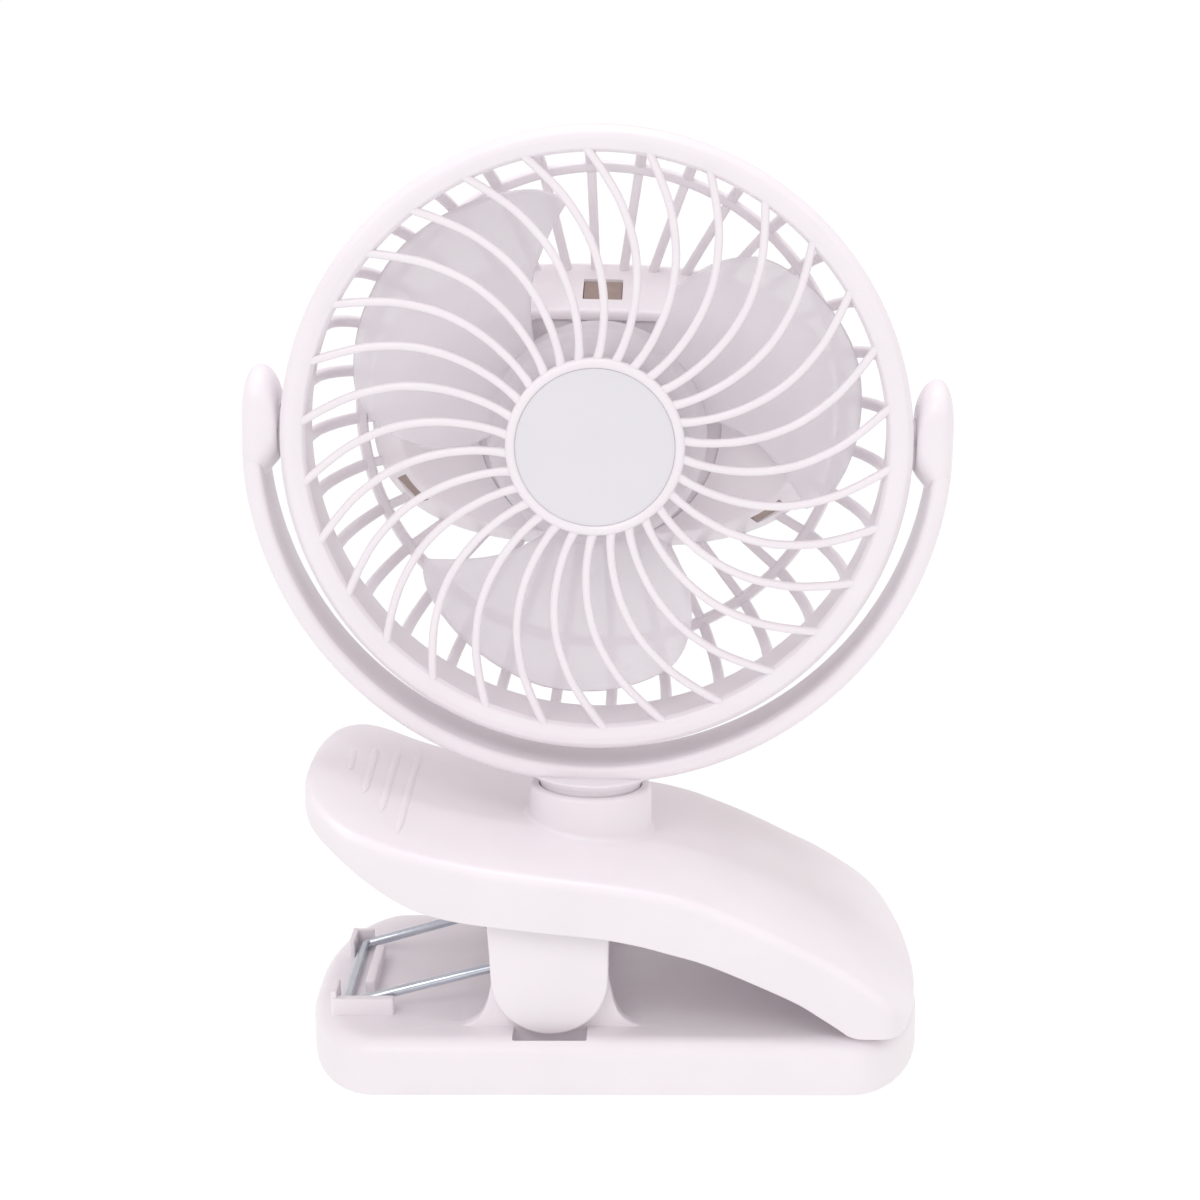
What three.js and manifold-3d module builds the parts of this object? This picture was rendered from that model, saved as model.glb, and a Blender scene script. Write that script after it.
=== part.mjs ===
// Clip fan: a round caged fan head that tilts in a U-shaped yoke, on a sprung S-shaped clip.
// Millimetres, +Z up, +X towards the jaw's tip, the fan blows towards -Y.
// Origin: middle of the base, on the plane that the anti-slip pad rests on.
import * as THREE from 'three';
import { mergeVertices } from 'three/addons/utils/BufferGeometryUtils.js';
import Module from 'manifold-3d';

const wasm = await Module();
wasm.setup();

// ---- driving dimensions -------------------------------------------------
const BASE = { hx: 66, hy: 40, rx: 16, ry: 36, z0: 0.6, top: 12.6, fillet: 4.3, wall: 2.2 };
const PIVOT = { x: -12.8, z: 24.4, pinR: 2.0, boreR: 2.15, pinHalf: 33.0 };
const TAB = { y0: 31.3, y1: 34.3, r: 12.4 };
const POST = { y0: 28.0, y1: 31.0 };
const SPRING = { wire: 1.05, coilR: 3.7, turns: 2, crossX: -57.5, crossZ: 13.95 };
const HEAD = { x: -2.5, y: 0, z: 133.6, leanDeg: 1.8 };
const RIM = { r: 66.5, inner: 60.9, front: -10.2, seam: -6.1 };
const CAGE = { r: 66.2, inner: 61.8, y0: -5.8, y1: 9.5, ringR: 55.0, ringIn: 52.7, ringY0: 32.6, ringY1: 35.0, ribs: 32, ribPhase: 3.5, ribW: 2.1, sectors: 8 };
const SPOKES = { count: 30, phase: 8.6, w: 1.9, t: 2.1 };
const HUB = { r: 18.8, inner: 17.1, front: -12.4, back: -9.2 };
const OVAL = { a: 51.6, b: 31.8, n: 2.7, aFront: 43.5, bFront: 24.6, y0: 16.0, y1: 34.8, wall: 2.0 };
const COVER = { y0: 35.1, back: 49.5, wall: 2.0 };
const FAN = { hubR: 23.4, blades: 3, centreDeg: 17 };
const MOTOR = { r: 12.0, y0: 18.6, y1: 27.4 };
const CELL = { r: 9.15, half: 32.5, y: 37.2, z: -8.0 };
const YOKE = { inner: 70.9, outer: 74.9, half: 8.0, neckR: 11.0 };
const TRUNNION = { boss: 5.35, seat: 67.7, r: 3.3, end: 72.6 };
const COLLAR = { r: 12.4, top: -76.6, bore: 11.4, floor: -82.0, foot: -89.4, hole: 3.6 };

// ---- geometry helpers ---------------------------------------------------
const rad = THREE.MathUtils.degToRad;
const V3 = (x, y, z) => new THREE.Vector3(x, y, z);

function volumeOf(p, ix) {
  let v = 0;
  const a = V3(), b = V3(), c = V3();
  for (let i = 0; i < ix.length; i += 3) {
    a.fromArray(p, 3 * ix[i]); b.fromArray(p, 3 * ix[i + 1]); c.fromArray(p, 3 * ix[i + 2]);
    v += a.dot(b.cross(c));
  }
  return v / 6;
}

// closed solid from any closed geometry: shared corners welded, faces turned outwards
function solid(geometry) {
  let g = geometry.clone();
  for (const k of Object.keys(g.attributes)) if (k !== 'position') g.deleteAttribute(k);
  g = mergeVertices(g, 1e-4);
  const p = g.attributes.position.array, src = g.index.array, ix = [];
  for (let i = 0; i < src.length; i += 3) {
    const [a, b, c] = [src[i], src[i + 1], src[i + 2]];
    if (a !== b && b !== c && a !== c) ix.push(a, b, c);
  }
  if (volumeOf(p, ix) < 0) for (let i = 0; i < ix.length; i += 3) [ix[i + 1], ix[i + 2]] = [ix[i + 2], ix[i + 1]];
  return new wasm.Manifold(new wasm.Mesh({ numProp: 3, vertProperties: new Float32Array(p), triVerts: new Uint32Array(ix) }));
}

function geometryOf(m) {
  const mesh = m.getMesh();
  const g = new THREE.BufferGeometry();
  g.setAttribute('position', new THREE.BufferAttribute(new Float32Array(mesh.vertProperties), 3));
  g.setIndex(new THREE.BufferAttribute(new Uint32Array(mesh.triVerts), 1));
  g.computeVertexNormals();
  return g;
}

const join = (...parts) => parts.flat().reduce((a, b) => a.add(b));
const cut = (body, ...tools) => tools.flat().reduce((a, b) => a.subtract(b), body);

const box = (x0, x1, y0, y1, z0, z1) =>
  new THREE.BoxGeometry(x1 - x0, y1 - y0, z1 - z0).translate((x0 + x1) / 2, (y0 + y1) / 2, (z0 + z1) / 2);

// turned body: profile of [radius, height] pairs about the given axis
function turned(profile, seg, axis = 'y') {
  const g = new THREE.LatheGeometry(profile.map(([r, h]) => new THREE.Vector2(r, h)), seg);
  if (axis === 'z') g.rotateX(Math.PI / 2);
  if (axis === 'x') g.rotateZ(-Math.PI / 2);
  return g;
}

// round bar along an axis, from h0 to h1, centred on the two other coordinates
function bar(r, axis, h0, h1, u, v, seg = 24) {
  const g = new THREE.CylinderGeometry(r, r, h1 - h0, seg).translate(0, (h0 + h1) / 2, 0);
  if (axis === 'y') return g.translate(u, 0, v);
  if (axis === 'z') return g.rotateX(Math.PI / 2).translate(u, v, 0);
  return g.rotateZ(-Math.PI / 2).translate(0, u, v);
}

// outline in the XZ plane, given thickness along Y
function plateXZ(points, y0, y1) {
  const s = new THREE.Shape(points.map(([x, z]) => new THREE.Vector2(x, z)));
  return new THREE.ExtrudeGeometry(s, { depth: y1 - y0, bevelEnabled: false, curveSegments: 8 })
    .rotateX(Math.PI / 2).translate(0, y1, 0);
}

// skin through closed rings with equal numbers of points, with flat ends
function loft(rings, plane = 'xy') {
  const n = rings[0].length, pos = [], ix = [];
  for (const r of rings) for (const p of r) pos.push(p.x, p.y, p.z);
  for (let k = 0; k + 1 < rings.length; k++)
    for (let i = 0; i < n; i++) {
      const j = (i + 1) % n, a = k * n + i, b = k * n + j, c = a + n, d = b + n;
      ix.push(a, b, d, a, d, c);
    }
  const flat = (r) => r.map((p) => plane === 'xy' ? new THREE.Vector2(p.x, p.y) : plane === 'xz' ? new THREE.Vector2(p.x, p.z) : new THREE.Vector2(p.y, p.z));
  const cap = (k, turn) => {
    const f = flat(rings[k]);
    const ccw = THREE.ShapeUtils.area(f) > 0;
    for (const [a, b, c] of THREE.ShapeUtils.triangulateShape(ccw ? f : [...f].reverse(), [])) {
      const q = (i) => k * n + (ccw ? i : n - 1 - i);
      const t = [q(a), q(b), q(c)];
      if ((ccw ? 1 : -1) * turn < 0) t.reverse();
      ix.push(...t);
    }
  };
  cap(0, -1); cap(rings.length - 1, 1);
  const g = new THREE.BufferGeometry();
  g.setAttribute('position', new THREE.Float32BufferAttribute(pos, 3));
  g.setIndex(ix);
  return g;
}

// round-sectioned wire or spoke along a curve
function along(points, section, steps, tension = 0.5) {
  const path = new THREE.CatmullRomCurve3(points, false, 'catmullrom', tension);
  return new THREE.ExtrudeGeometry(new THREE.Shape(section), { steps, bevelEnabled: false, extrudePath: path });
}
const circle = (r, n, sx = 1, sy = 1) => Array.from({ length: n }, (_, i) =>
  new THREE.Vector2(r * sx * Math.cos((i + 0.5) * 2 * Math.PI / n), r * sy * Math.sin((i + 0.5) * 2 * Math.PI / n)));

// value on a polyline of [x, value] pairs
function lerpAt(table, x) {
  if (x <= table[0][0]) return table[0][1];
  for (let i = 1; i < table.length; i++)
    if (x <= table[i][0]) {
      const [x0, v0] = table[i - 1], [x1, v1] = table[i];
      return v0 + (v1 - v0) * (x - x0) / (x1 - x0);
    }
  return table[table.length - 1][1];
}

// ---- materials ----------------------------------------------------------
const finish = (color, roughness, metalness = 0, opacity = 1) =>
  new THREE.MeshStandardMaterial({ color, roughness, metalness, opacity, transparent: opacity < 1 });
const WHITE = () => finish(0xf3eff2, 0.38);
const STEEL = () => finish(0xc4cbd2, 0.25, 1);

const root = new THREE.Group();
function put(parent, name, body, material) {
  const g = body.isBufferGeometry ? body : geometryOf(body);
  const m = new THREE.Mesh(g, material);
  m.name = name;
  parent.add(m);
  return m;
}

// =========================================================================
// Base
// =========================================================================
function baseRing(inset, z, n = 40) {
  const out = [];
  for (let i = 0; i < n; i++) {
    const t = (i + 0.5) * 2 * Math.PI / n, c = Math.cos(t), s = Math.sin(t);
    let nx = c / BASE.rx, ny = s / BASE.ry;
    const l = Math.hypot(nx, ny); nx /= l; ny /= l;
    out.push(V3(Math.sign(c) * (BASE.hx - BASE.rx) + BASE.rx * c - inset * nx, Math.sign(s) * (BASE.hy - BASE.ry) + BASE.ry * s - inset * ny, z));
  }
  return out;
}
const F = BASE.fillet;
const baseOuter = loft([
  baseRing(0.7, BASE.z0), baseRing(0.05, BASE.z0 + 0.8), baseRing(0, BASE.top - F),
  ...[25, 48, 70, 90].map((d) => baseRing(F * (1 - Math.cos(rad(d))), BASE.top - F * (1 - Math.sin(rad(d))))),
]);
const baseInner = loft([baseRing(BASE.wall, -2), baseRing(BASE.wall, BASE.top - F - 1), baseRing(BASE.wall + 2.4, BASE.top - 2.3)]);
const BOSSES = [[-56, -20], [56, -20], [56, 20], [-56, 20]];

// upright that holds the hinge pin: rounded head and flared foot
const postOutline = [];
for (const [dx, z] of [[-20.6, 11.0], [-20.6, 12.5], [-17.2, 13.3], [-14.8, 15.2], [-13.2, 18.2], [-12.5, 21.5], [-12.0, 25.0]]) postOutline.push([PIVOT.x + dx, z]);
for (let i = 1; i < 8; i++) postOutline.push([PIVOT.x - 11.6 * Math.cos(i * Math.PI / 8), 25.0 + 9.4 * Math.sin(i * Math.PI / 8)]);
for (const [dx, z] of [[12.0, 25.0], [12.5, 21.5], [13.2, 18.2], [14.8, 15.2], [17.2, 13.3], [20.6, 12.5], [20.6, 11.0]]) postOutline.push([PIVOT.x + dx, z]);

const baseShell = cut(
  join(
    cut(solid(baseOuter), solid(baseInner)),
    ...BOSSES.map(([x, y]) => solid(bar(3.3, 'z', 3.1, 11.4, x, y, 16))),
    solid(plateXZ(postOutline, -POST.y1, -POST.y0)),
    solid(plateXZ(postOutline, POST.y0, POST.y1)),
    // ribs that tie the uprights to the deck
    solid(plateXZ([[-14.2, 11.5], [-11.4, 11.5], [-11.4, 19.5], [-14.2, 19.5]], -28.2, -27.2)),
    solid(plateXZ([[-14.2, 11.5], [-11.4, 11.5], [-11.4, 19.5], [-14.2, 19.5]], 27.2, 28.2)),
    // catch that holds the spring's cross wire
    solid(box(-60.2, -46.8, -25.2, -22.6, 11.6, 16.3)),
    solid(box(-60.4, -59.1, -24.8, -16.8, 11.6, 17.8)),
    solid(box(-60.4, -59.1, 9.0, 17.6, 11.6, 16.6)),
    solid(box(-60.3, -55.5, 16.4, 17.6, 11.6, 16.6)),
    solid(box(-54.2, -52.0, -14.0, 8.6, 11.6, 16.0)),
  ),
  ...BOSSES.map(([x, y]) => solid(bar(1.3, 'z', 2, 9.4, x, y, 12))),
  solid(bar(PIVOT.boreR, 'y', -40, 40, PIVOT.x, PIVOT.z, 24)),
  // clearance slots under the arm's two tabs
  solid(box(-20.7, -5.0, -37.7, -31.2, 9.0, 14)),
  solid(box(-20.7, -5.0, 31.2, 37.7, 9.0, 14)),
);
put(root, 'base_shell', baseShell, WHITE());

const plate = cut(
  solid(loft([baseRing(2.6, 1.1, 32), baseRing(2.6, 2.8, 32)])),
  ...BOSSES.map(([x, y]) => solid(bar(1.5, 'z', 0, 4, x, y, 12))),
  ...BOSSES.map(([x, y]) => solid(bar(2.9, 'z', 0, 2.05, x, y, 16))),
);
put(root, 'bottom_plate', plate, finish(0xe9e5e9, 0.5));

const padRing = (inset, z) => {
  const out = [];
  for (let i = 0; i < 40; i++) {
    const t = (i + 0.5) * 2 * Math.PI / 40, c = Math.cos(t), s = Math.sin(t);
    out.push(V3(Math.sign(c) * (51 - 12) + (12 - inset) * c, Math.sign(s) * (32 - 12) + (12 - inset) * s, z));
  }
  return out;
};
put(root, 'base_pad', solid(loft([padRing(0.3, 0), padRing(0, 0.25), padRing(0, 0.9)])), finish(0x8d8a8f, 0.9));

BOSSES.forEach(([x, y], i) => {
  const body = join(
    solid(turned([[0, 0.8], [2.2, 0.8], [2.55, 1.1], [2.55, 1.85], [0, 1.85]], 20, 'z')),
    solid(bar(1.2, 'z', 1.7, 8.8, 0, 0, 12)),
  );
  const cross = join(solid(box(-1.5, 1.5, -0.3, 0.3, 0.5, 1.35)), solid(box(-0.3, 0.3, -1.5, 1.5, 0.5, 1.35)));
  put(root, `plate_screw_${i + 1}`, body.subtract(cross), STEEL()).position.set(x, y, 0);
});

put(root, 'hinge_pin', solid(turned([[0, -PIVOT.pinHalf], [1.5, -PIVOT.pinHalf], [2.0, -PIVOT.pinHalf + 0.5], [2.0, PIVOT.pinHalf - 0.5], [1.5, PIVOT.pinHalf], [0, PIVOT.pinHalf]], 20)), STEEL())
  .position.set(PIVOT.x, 0, PIVOT.z);

// double torsion spring: two coils round the pin, a cross wire under the catch, two legs up into the grip
function springPath() {
  const R = SPRING.coilR, P = [PIVOT.x, PIVOT.z];
  const tip = [-40, 49.9], via = [-24.5, 22.0], low = [SPRING.crossX + 2.4, SPRING.crossZ + 0.35];
  const ang = (q, side) => {
    const dx = q[0] - P[0], dz = q[1] - P[1];
    return Math.atan2(dz, dx) + side * Math.acos(R / Math.hypot(dx, dz));
  };
  const aTop = ang(tip, 1);
  let aLow = ang(via, -1);
  while (aLow < aTop) aLow += 2 * Math.PI;
  const aEnd = aLow + 2 * Math.PI * (SPRING.turns - 1);
  const half = (yOut, yIn, yLow) => {
    const pts = [];
    const t0 = V3(P[0] + R * Math.cos(aTop), yOut, P[1] + R * Math.sin(aTop));
    const tipV = V3(tip[0], yOut, tip[1]);
    for (const k of [0, 0.35, 0.7, 0.92]) pts.push(tipV.clone().lerp(t0, k));
    const n = Math.round((aEnd - aTop) / rad(30));
    for (let i = 0; i <= n; i++) {
      const a = aTop + (aEnd - aTop) * i / n;
      pts.push(V3(P[0] + R * Math.cos(a), yOut + (yIn - yOut) * i / n, P[1] + R * Math.sin(a)));
    }
    const e = pts[pts.length - 1], lowV = V3(low[0], yLow, low[1]), viaV = V3(via[0], yIn + (yLow - yIn) * 0.3, via[1]);
    for (const k of [0.3, 0.7]) pts.push(e.clone().lerp(viaV, k));
    for (const k of [0, 0.2, 0.6, 1]) pts.push(viaV.clone().lerp(lowV, k));
    return pts;
  };
  const yF = -21.0, yR = 14.8, x = SPRING.crossX, z = SPRING.crossZ;
  const front = half(-26.4, -19.6, yF), rear = half(26.4, 19.2, yR).reverse();
  const bend = [V3(x + 0.7, yF + 0.5, z + 0.05), V3(x, yF + 2.2, z), V3(x, 0, z), V3(x, yR - 2.2, z), V3(x + 0.7, yR - 0.5, z + 0.05)];
  return [...front, ...bend, ...rear];
}
put(root, 'torsion_spring', solid(along(springPath(), circle(SPRING.wire, 5), 190)), STEEL());

// =========================================================================
// Clamp arm: S-shaped open-bottomed shell
// =========================================================================
const T = [[-66.1, 60.8], [-65.5, 62.0], [-63.8, 62.4], [-60.2, 61.5], [-56.2, 59.9], [-51.8, 58.0], [-47.0, 56.1], [-41.0, 54.1], [-33.0, 52.1], [-23.0, 50.1], [-12.0, 48.5], [0.0, 46.9], [9.5, 45.3], [16.5, 43.5], [22.5, 41.2], [28.5, 38.6], [34.5, 35.7], [40.0, 32.8], [45.0, 30.3], [49.5, 27.5], [53.5, 24.8], [57.0, 22.1], [60.0, 19.5], [61.8, 17.8], [63.3, 16.2], [64.7, 14.7], [65.6, 13.5]];
const B = [[-66.0, 58.6], [-65.2, 57.0], [-63.2, 55.9], [-59.2, 54.2], [-54.8, 51.3], [-50.0, 47.4], [-45.0, 43.7], [-39.0, 40.6], [-31.0, 38.5], [-22.0, 37.2], [-12.2, 36.0], [-1.5, 34.8], [6.5, 33.2], [12.5, 31.5], [18.0, 29.9], [23.5, 27.8], [29.0, 25.4], [34.5, 22.9], [39.7, 20.3], [44.0, 17.5], [47.8, 14.95], [51.0, 12.95], [56.0, 12.95], [59.6, 12.95], [61.8, 12.95], [63.6, 12.95], [65.3, 12.95]];
const armHalf = (x) => x < -50 ? 3 + 35.7 * Math.max(0.012, 1 - (Math.min(16.4, -x - 50) / 16.4) ** 2.35) ** (1 / 2.1)
  : lerpAt([[20, 38.7], [46, 39.2], [56, 39.2], [58, 38.4], [59.6, 36.8], [61, 33.8], [62.4, 29.0], [63.8, 22.6], [64.8, 15], [65.6, 6]], x);
function armRing(t, b, wt, wb, r) {
  const h = Math.hypot(t[0] - b[0], t[1] - b[1]), n = [(t[0] - b[0]) / h, (t[1] - b[1]) / h];
  const side = [[wb, 0]];
  for (const d of [0, 30, 60, 90]) side.push([wt - r * (1 - Math.cos(rad(d))), h - r * (1 - Math.sin(rad(d)))]);
  const at = ([y, k]) => V3(b[0] + n[0] * k, y, b[1] + n[1] * k);
  return [...side.map(([y, k]) => at([-y, k])), ...side.slice().reverse().map(([y, k]) => at([y, k]))];
}
const armOuter = loft(T.map((t, i) => {
  const b = B[i], h = Math.hypot(t[0] - b[0], t[1] - b[1]);
  return armRing(t, b, armHalf(t[0]), armHalf(b[0]), Math.min(4.6, 0.6 * h));
}), 'yz');
const skin = 2.4;
const innerRings = [];
for (let i = 2; i <= 21; i++) {
  const t = T[i], b = B[i];
  const p = T[Math.max(0, i - 1)], q = T[Math.min(T.length - 1, i + 1)];
  const l = Math.hypot(q[0] - p[0], q[1] - p[1]), nrm = [-(q[1] - p[1]) / l, (q[0] - p[0]) / l];
  const ti = [t[0] - skin * nrm[0], t[1] - skin * nrm[1]];
  const h = Math.hypot(t[0] - b[0], t[1] - b[1]);
  const bi = [b[0] + (b[0] - t[0]) / h * 4, b[1] + (b[1] - t[1]) / h * 4];
  const shift = i === 2 ? 1.4 : i === 21 ? -1.0 : 0;
  innerRings.push(armRing([ti[0] + shift, ti[1]], [bi[0] + shift, bi[1]], armHalf(t[0]) - skin, armHalf(b[0]) - skin, 2.4));
}
const lean = new THREE.Matrix4().makeRotationY(rad(HEAD.leanDeg)).setPosition(HEAD.x, HEAD.y, HEAD.z);
const leaned = (g) => g.clone().applyMatrix4(lean);
const tabOutline = [[-26.2, 49.4], [0.3, 45.6], [0.0, 36.0], [PIVOT.x + TAB.r, PIVOT.z]];
for (let i = 1; i < 14; i++) tabOutline.push([PIVOT.x + TAB.r * Math.cos(i * Math.PI / 14), PIVOT.z - TAB.r * Math.sin(i * Math.PI / 14)]);
tabOutline.push([PIVOT.x - TAB.r, PIVOT.z], [-25.8, 36.0]);
const topAt = (x) => lerpAt(T, x);
const ridges = [[-58.0, -2.0, 12.0], [-53.6, -13.0, 19.0], [-49.2, -20.5, 26.0], [-44.8, -29.8, 31.5]].map(([x, y0, y1]) => {
  const slope = Math.atan2(topAt(x + 1) - topAt(x - 1), 2);
  return solid(new THREE.BoxGeometry(1.3, y1 - y0, 2.0).rotateY(-slope).translate(x, (y0 + y1) / 2, topAt(x) - 0.6));
});
const armShell = cut(
  join(
    cut(solid(armOuter), solid(loft(innerRings, 'yz'))),
    solid(plateXZ(tabOutline, -TAB.y1, -TAB.y0)),
    solid(plateXZ(tabOutline, TAB.y0, TAB.y1)),
    ...ridges,
    solid(leaned(turned([[0, COLLAR.foot], [COLLAR.r, COLLAR.foot], [COLLAR.r + 0.6, COLLAR.foot + 0.5], [COLLAR.r + 0.6, COLLAR.top - 7.2], [COLLAR.r + 0.1, COLLAR.top - 5.6], [COLLAR.r - 0.2, COLLAR.top - 0.7], [COLLAR.r - 0.9, COLLAR.top], [0, COLLAR.top]], 32, 'z'))),
  ),
  solid(leaned(bar(COLLAR.bore, 'z', COLLAR.floor, COLLAR.top + 3, 0, 0, 32))),
  solid(leaned(bar(COLLAR.hole, 'z', COLLAR.foot - 3, COLLAR.floor + 1, 0, 0, 24))),
  solid(bar(PIVOT.boreR, 'y', -PIVOT.pinHalf - 0.3, PIVOT.pinHalf + 0.3, PIVOT.x, PIVOT.z, 24)),
);
put(root, 'clamp_arm_shell', armShell, WHITE());

// =========================================================================
// Head and yoke, in a frame that leans with the swivel axis.
// Local origin: crossing of the tilt axis (local X) and the fan axis (local Y).
// =========================================================================
const head = new THREE.Group();
head.position.set(HEAD.x, HEAD.y, HEAD.z);
head.rotation.y = rad(HEAD.leanDeg);
root.add(head);

// ---- yoke ---------------------------------------------------------------
const band = cut(
  solid(turned([[YOKE.inner, -YOKE.half + 0.6], [YOKE.inner + 0.6, -YOKE.half], [YOKE.outer - 0.9, -YOKE.half], [YOKE.outer, -YOKE.half + 0.9], [YOKE.outer, YOKE.half - 0.9], [YOKE.outer - 0.9, YOKE.half], [YOKE.inner + 0.6, YOKE.half], [YOKE.inner, YOKE.half - 0.6], [YOKE.inner, -YOKE.half + 0.6]], 56)),
  solid(box(-90, 90, -20, 20, 0.5, 90)),
);
// one cross-section of an ear: an upright slot shape with round ends
function earRing([x, half, top, bottom], side) {
  const out = [];
  for (let i = 0; i <= 8; i++) out.push(V3(side * x, half * Math.cos(i * Math.PI / 8), top - half + half * Math.sin(i * Math.PI / 8)));
  for (let i = 0; i <= 8; i++) out.push(V3(side * x, -half * Math.cos(i * Math.PI / 8), bottom + half - half * Math.sin(i * Math.PI / 8)));
  return out;
}
// domed outside, tapered inside towards the ring's trunnion
const EAR = [[68.0, 5.9, 7.0, -5.95], [68.5, 6.9, 10.4, -7.0], [70.0, 7.9, 13.2, -8.6], [71.3, 8.0, 14.0, -9.6], [72.6, 7.8, 13.6, -10.2], [73.6, 7.1, 12.5, -9.9], [74.4, 6.0, 10.8, -9.0], [74.95, 4.4, 8.4, -7.0], [75.2, 2.4, 5.4, -4.4]];
const ear = (side) => solid(loft(EAR.map((e) => earRing(e, side)), 'yz'));
const yoke = cut(
  join(band, ear(1), ear(-1),
    solid(bar(YOKE.neckR, 'z', COLLAR.floor + 0.3, -74.6, 0, 0, 28)),
    solid(bar(3.2, 'z', COLLAR.foot + 0.1, COLLAR.floor + 0.8, 0, 0, 20))),
  solid(bar(TRUNNION.r + 0.3, 'x', 66, TRUNNION.end + 0.3, 0, 0, 24)),
  solid(bar(TRUNNION.r + 0.3, 'x', -TRUNNION.end - 0.3, -66, 0, 0, 24)),
  solid(bar(1.45, 'z', COLLAR.foot - 1, -76.0, 0, 0, 16)),
);
put(head, 'yoke', yoke, WHITE());
put(head, 'swivel_washer', solid(turned([[1.7, COLLAR.foot - 1.5], [7.6, COLLAR.foot - 1.5], [7.6, COLLAR.foot - 0.3], [1.7, COLLAR.foot - 0.3], [1.7, COLLAR.foot - 1.5]], 28, 'z')), STEEL());
const swivelScrew = join(
  solid(turned([[0, COLLAR.foot - 4.0], [2.9, COLLAR.foot - 4.0], [3.5, COLLAR.foot - 3.5], [3.5, COLLAR.foot - 1.8], [0, COLLAR.foot - 1.8]], 20, 'z')),
  solid(bar(1.35, 'z', COLLAR.foot - 2.2, -77.2, 0, 0, 12)));
put(head, 'swivel_screw', cut(swivelScrew, solid(box(-2.0, 2.0, -0.4, 0.4, COLLAR.foot - 5, COLLAR.foot - 3.0)), solid(box(-0.4, 0.4, -2.0, 2.0, COLLAR.foot - 5, COLLAR.foot - 3.0))), STEEL());

// ---- front grille -------------------------------------------------------
const rim = solid(turned([[RIM.inner + 0.5, RIM.seam], [RIM.r - 0.2, RIM.seam], [RIM.r, -7.8], [65.6, -9.4], [63.6, RIM.front], [61.7, -9.5], [RIM.inner, -7.9], [RIM.inner + 0.5, RIM.seam]], 60));
const hub = solid(turned([[0, HUB.back], [HUB.r - 0.6, HUB.back], [HUB.r, HUB.back - 0.6], [HUB.r, HUB.front + 0.7], [HUB.r - 0.6, HUB.front], [HUB.inner + 0.5, HUB.front], [HUB.inner, HUB.front + 0.5], [HUB.inner, HUB.front + 1.7], [0, HUB.front + 1.7]], 36));
// spoke: leaves the hub square, then sweeps round towards the rim
const spokeTable = [[17.8, -14.2], [22.0, -16.9], [26.4, -17.7], [32.6, -16.1], [38.0, -14.6], [43.0, -12.6], [50.8, -7.1], [56.0, -3.9], [61.9, 0.3]];
const spoke = (k) => {
  const pts = spokeTable.map(([r, d]) => {
    const a = rad(SPOKES.phase + k * 360 / SPOKES.count + d), f = (r - 17.8) / 44.1;
    return V3(r * Math.cos(a), -10.9 + 2.5 * f * f, r * Math.sin(a));
  });
  return solid(along(pts, circle(1, 4, SPOKES.w / 1.414, SPOKES.t / 1.414), 7));
};
put(head, 'front_grille', join(rim, hub, ...Array.from({ length: SPOKES.count }, (_, k) => spoke(k))), WHITE());
put(head, 'center_cap', solid(turned([[0, -10.4], [16.5, -10.4], [16.7, -10.6], [16.7, -11.3], [16.3, -11.6], [0, -11.6]], 36).translate(0, -0.35, 0)), finish(0xe4e2e7, 0.45));

// ---- rear cage, its back ring with bars, and the front half of the motor housing ----
// One moulding in the object, held here as sectors, ring and housing with narrow gaps between them.
function ovalRing(a, b, y, n = 32) {
  const out = [];
  for (let i = 0; i < n; i++) {
    const t = i * 2 * Math.PI / n, c = Math.cos(t), s = Math.sin(t);
    out.push(V3(a * Math.sign(c) * Math.abs(c) ** (2 / OVAL.n), y, b * Math.sign(s) * Math.abs(s) ** (2 / OVAL.n)));
  }
  return out;
}
const ovalAt = (y) => { const f = (y - OVAL.y0) / (OVAL.y1 - OVAL.y0); return [OVAL.aFront + (OVAL.a - OVAL.aFront) * f, OVAL.bFront + (OVAL.b - OVAL.bFront) * f]; };
const cup = solid(loft([ovalRing(OVAL.aFront - 1.0, OVAL.bFront - 1.0, OVAL.y0), ovalRing(OVAL.aFront + 0.4, OVAL.bFront + 0.4, OVAL.y0 + 1.2), ovalRing(...ovalAt(26), 26), ovalRing(OVAL.a, OVAL.b, OVAL.y1)], 'xz'));
const cupInside = solid(loft([ovalRing(OVAL.aFront - 2.4, OVAL.bFront - 2.4, OVAL.y0 + 2.3), ovalRing(ovalAt(26)[0] - OVAL.wall, ovalAt(26)[1] - OVAL.wall, 26), ovalRing(OVAL.a - OVAL.wall, OVAL.b - OVAL.wall, OVAL.y1 + 1)], 'xz'));
const cageRim = solid(turned([[CAGE.inner, CAGE.y0], [CAGE.r, CAGE.y0], [CAGE.r - 1.0, CAGE.y1 - 0.8], [CAGE.r - 1.8, CAGE.y1], [CAGE.inner + 0.4, CAGE.y1], [CAGE.inner, CAGE.y1 - 0.4], [CAGE.inner, CAGE.y0]], 54));
const cageRing = solid(turned([[CAGE.ringIn, CAGE.ringY0], [CAGE.ringR, CAGE.ringY0], [CAGE.ringR, CAGE.ringY1], [CAGE.ringIn, CAGE.ringY1], [CAGE.ringIn, CAGE.ringY0]], 40));
const sideBars = [], backBars = [];
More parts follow.
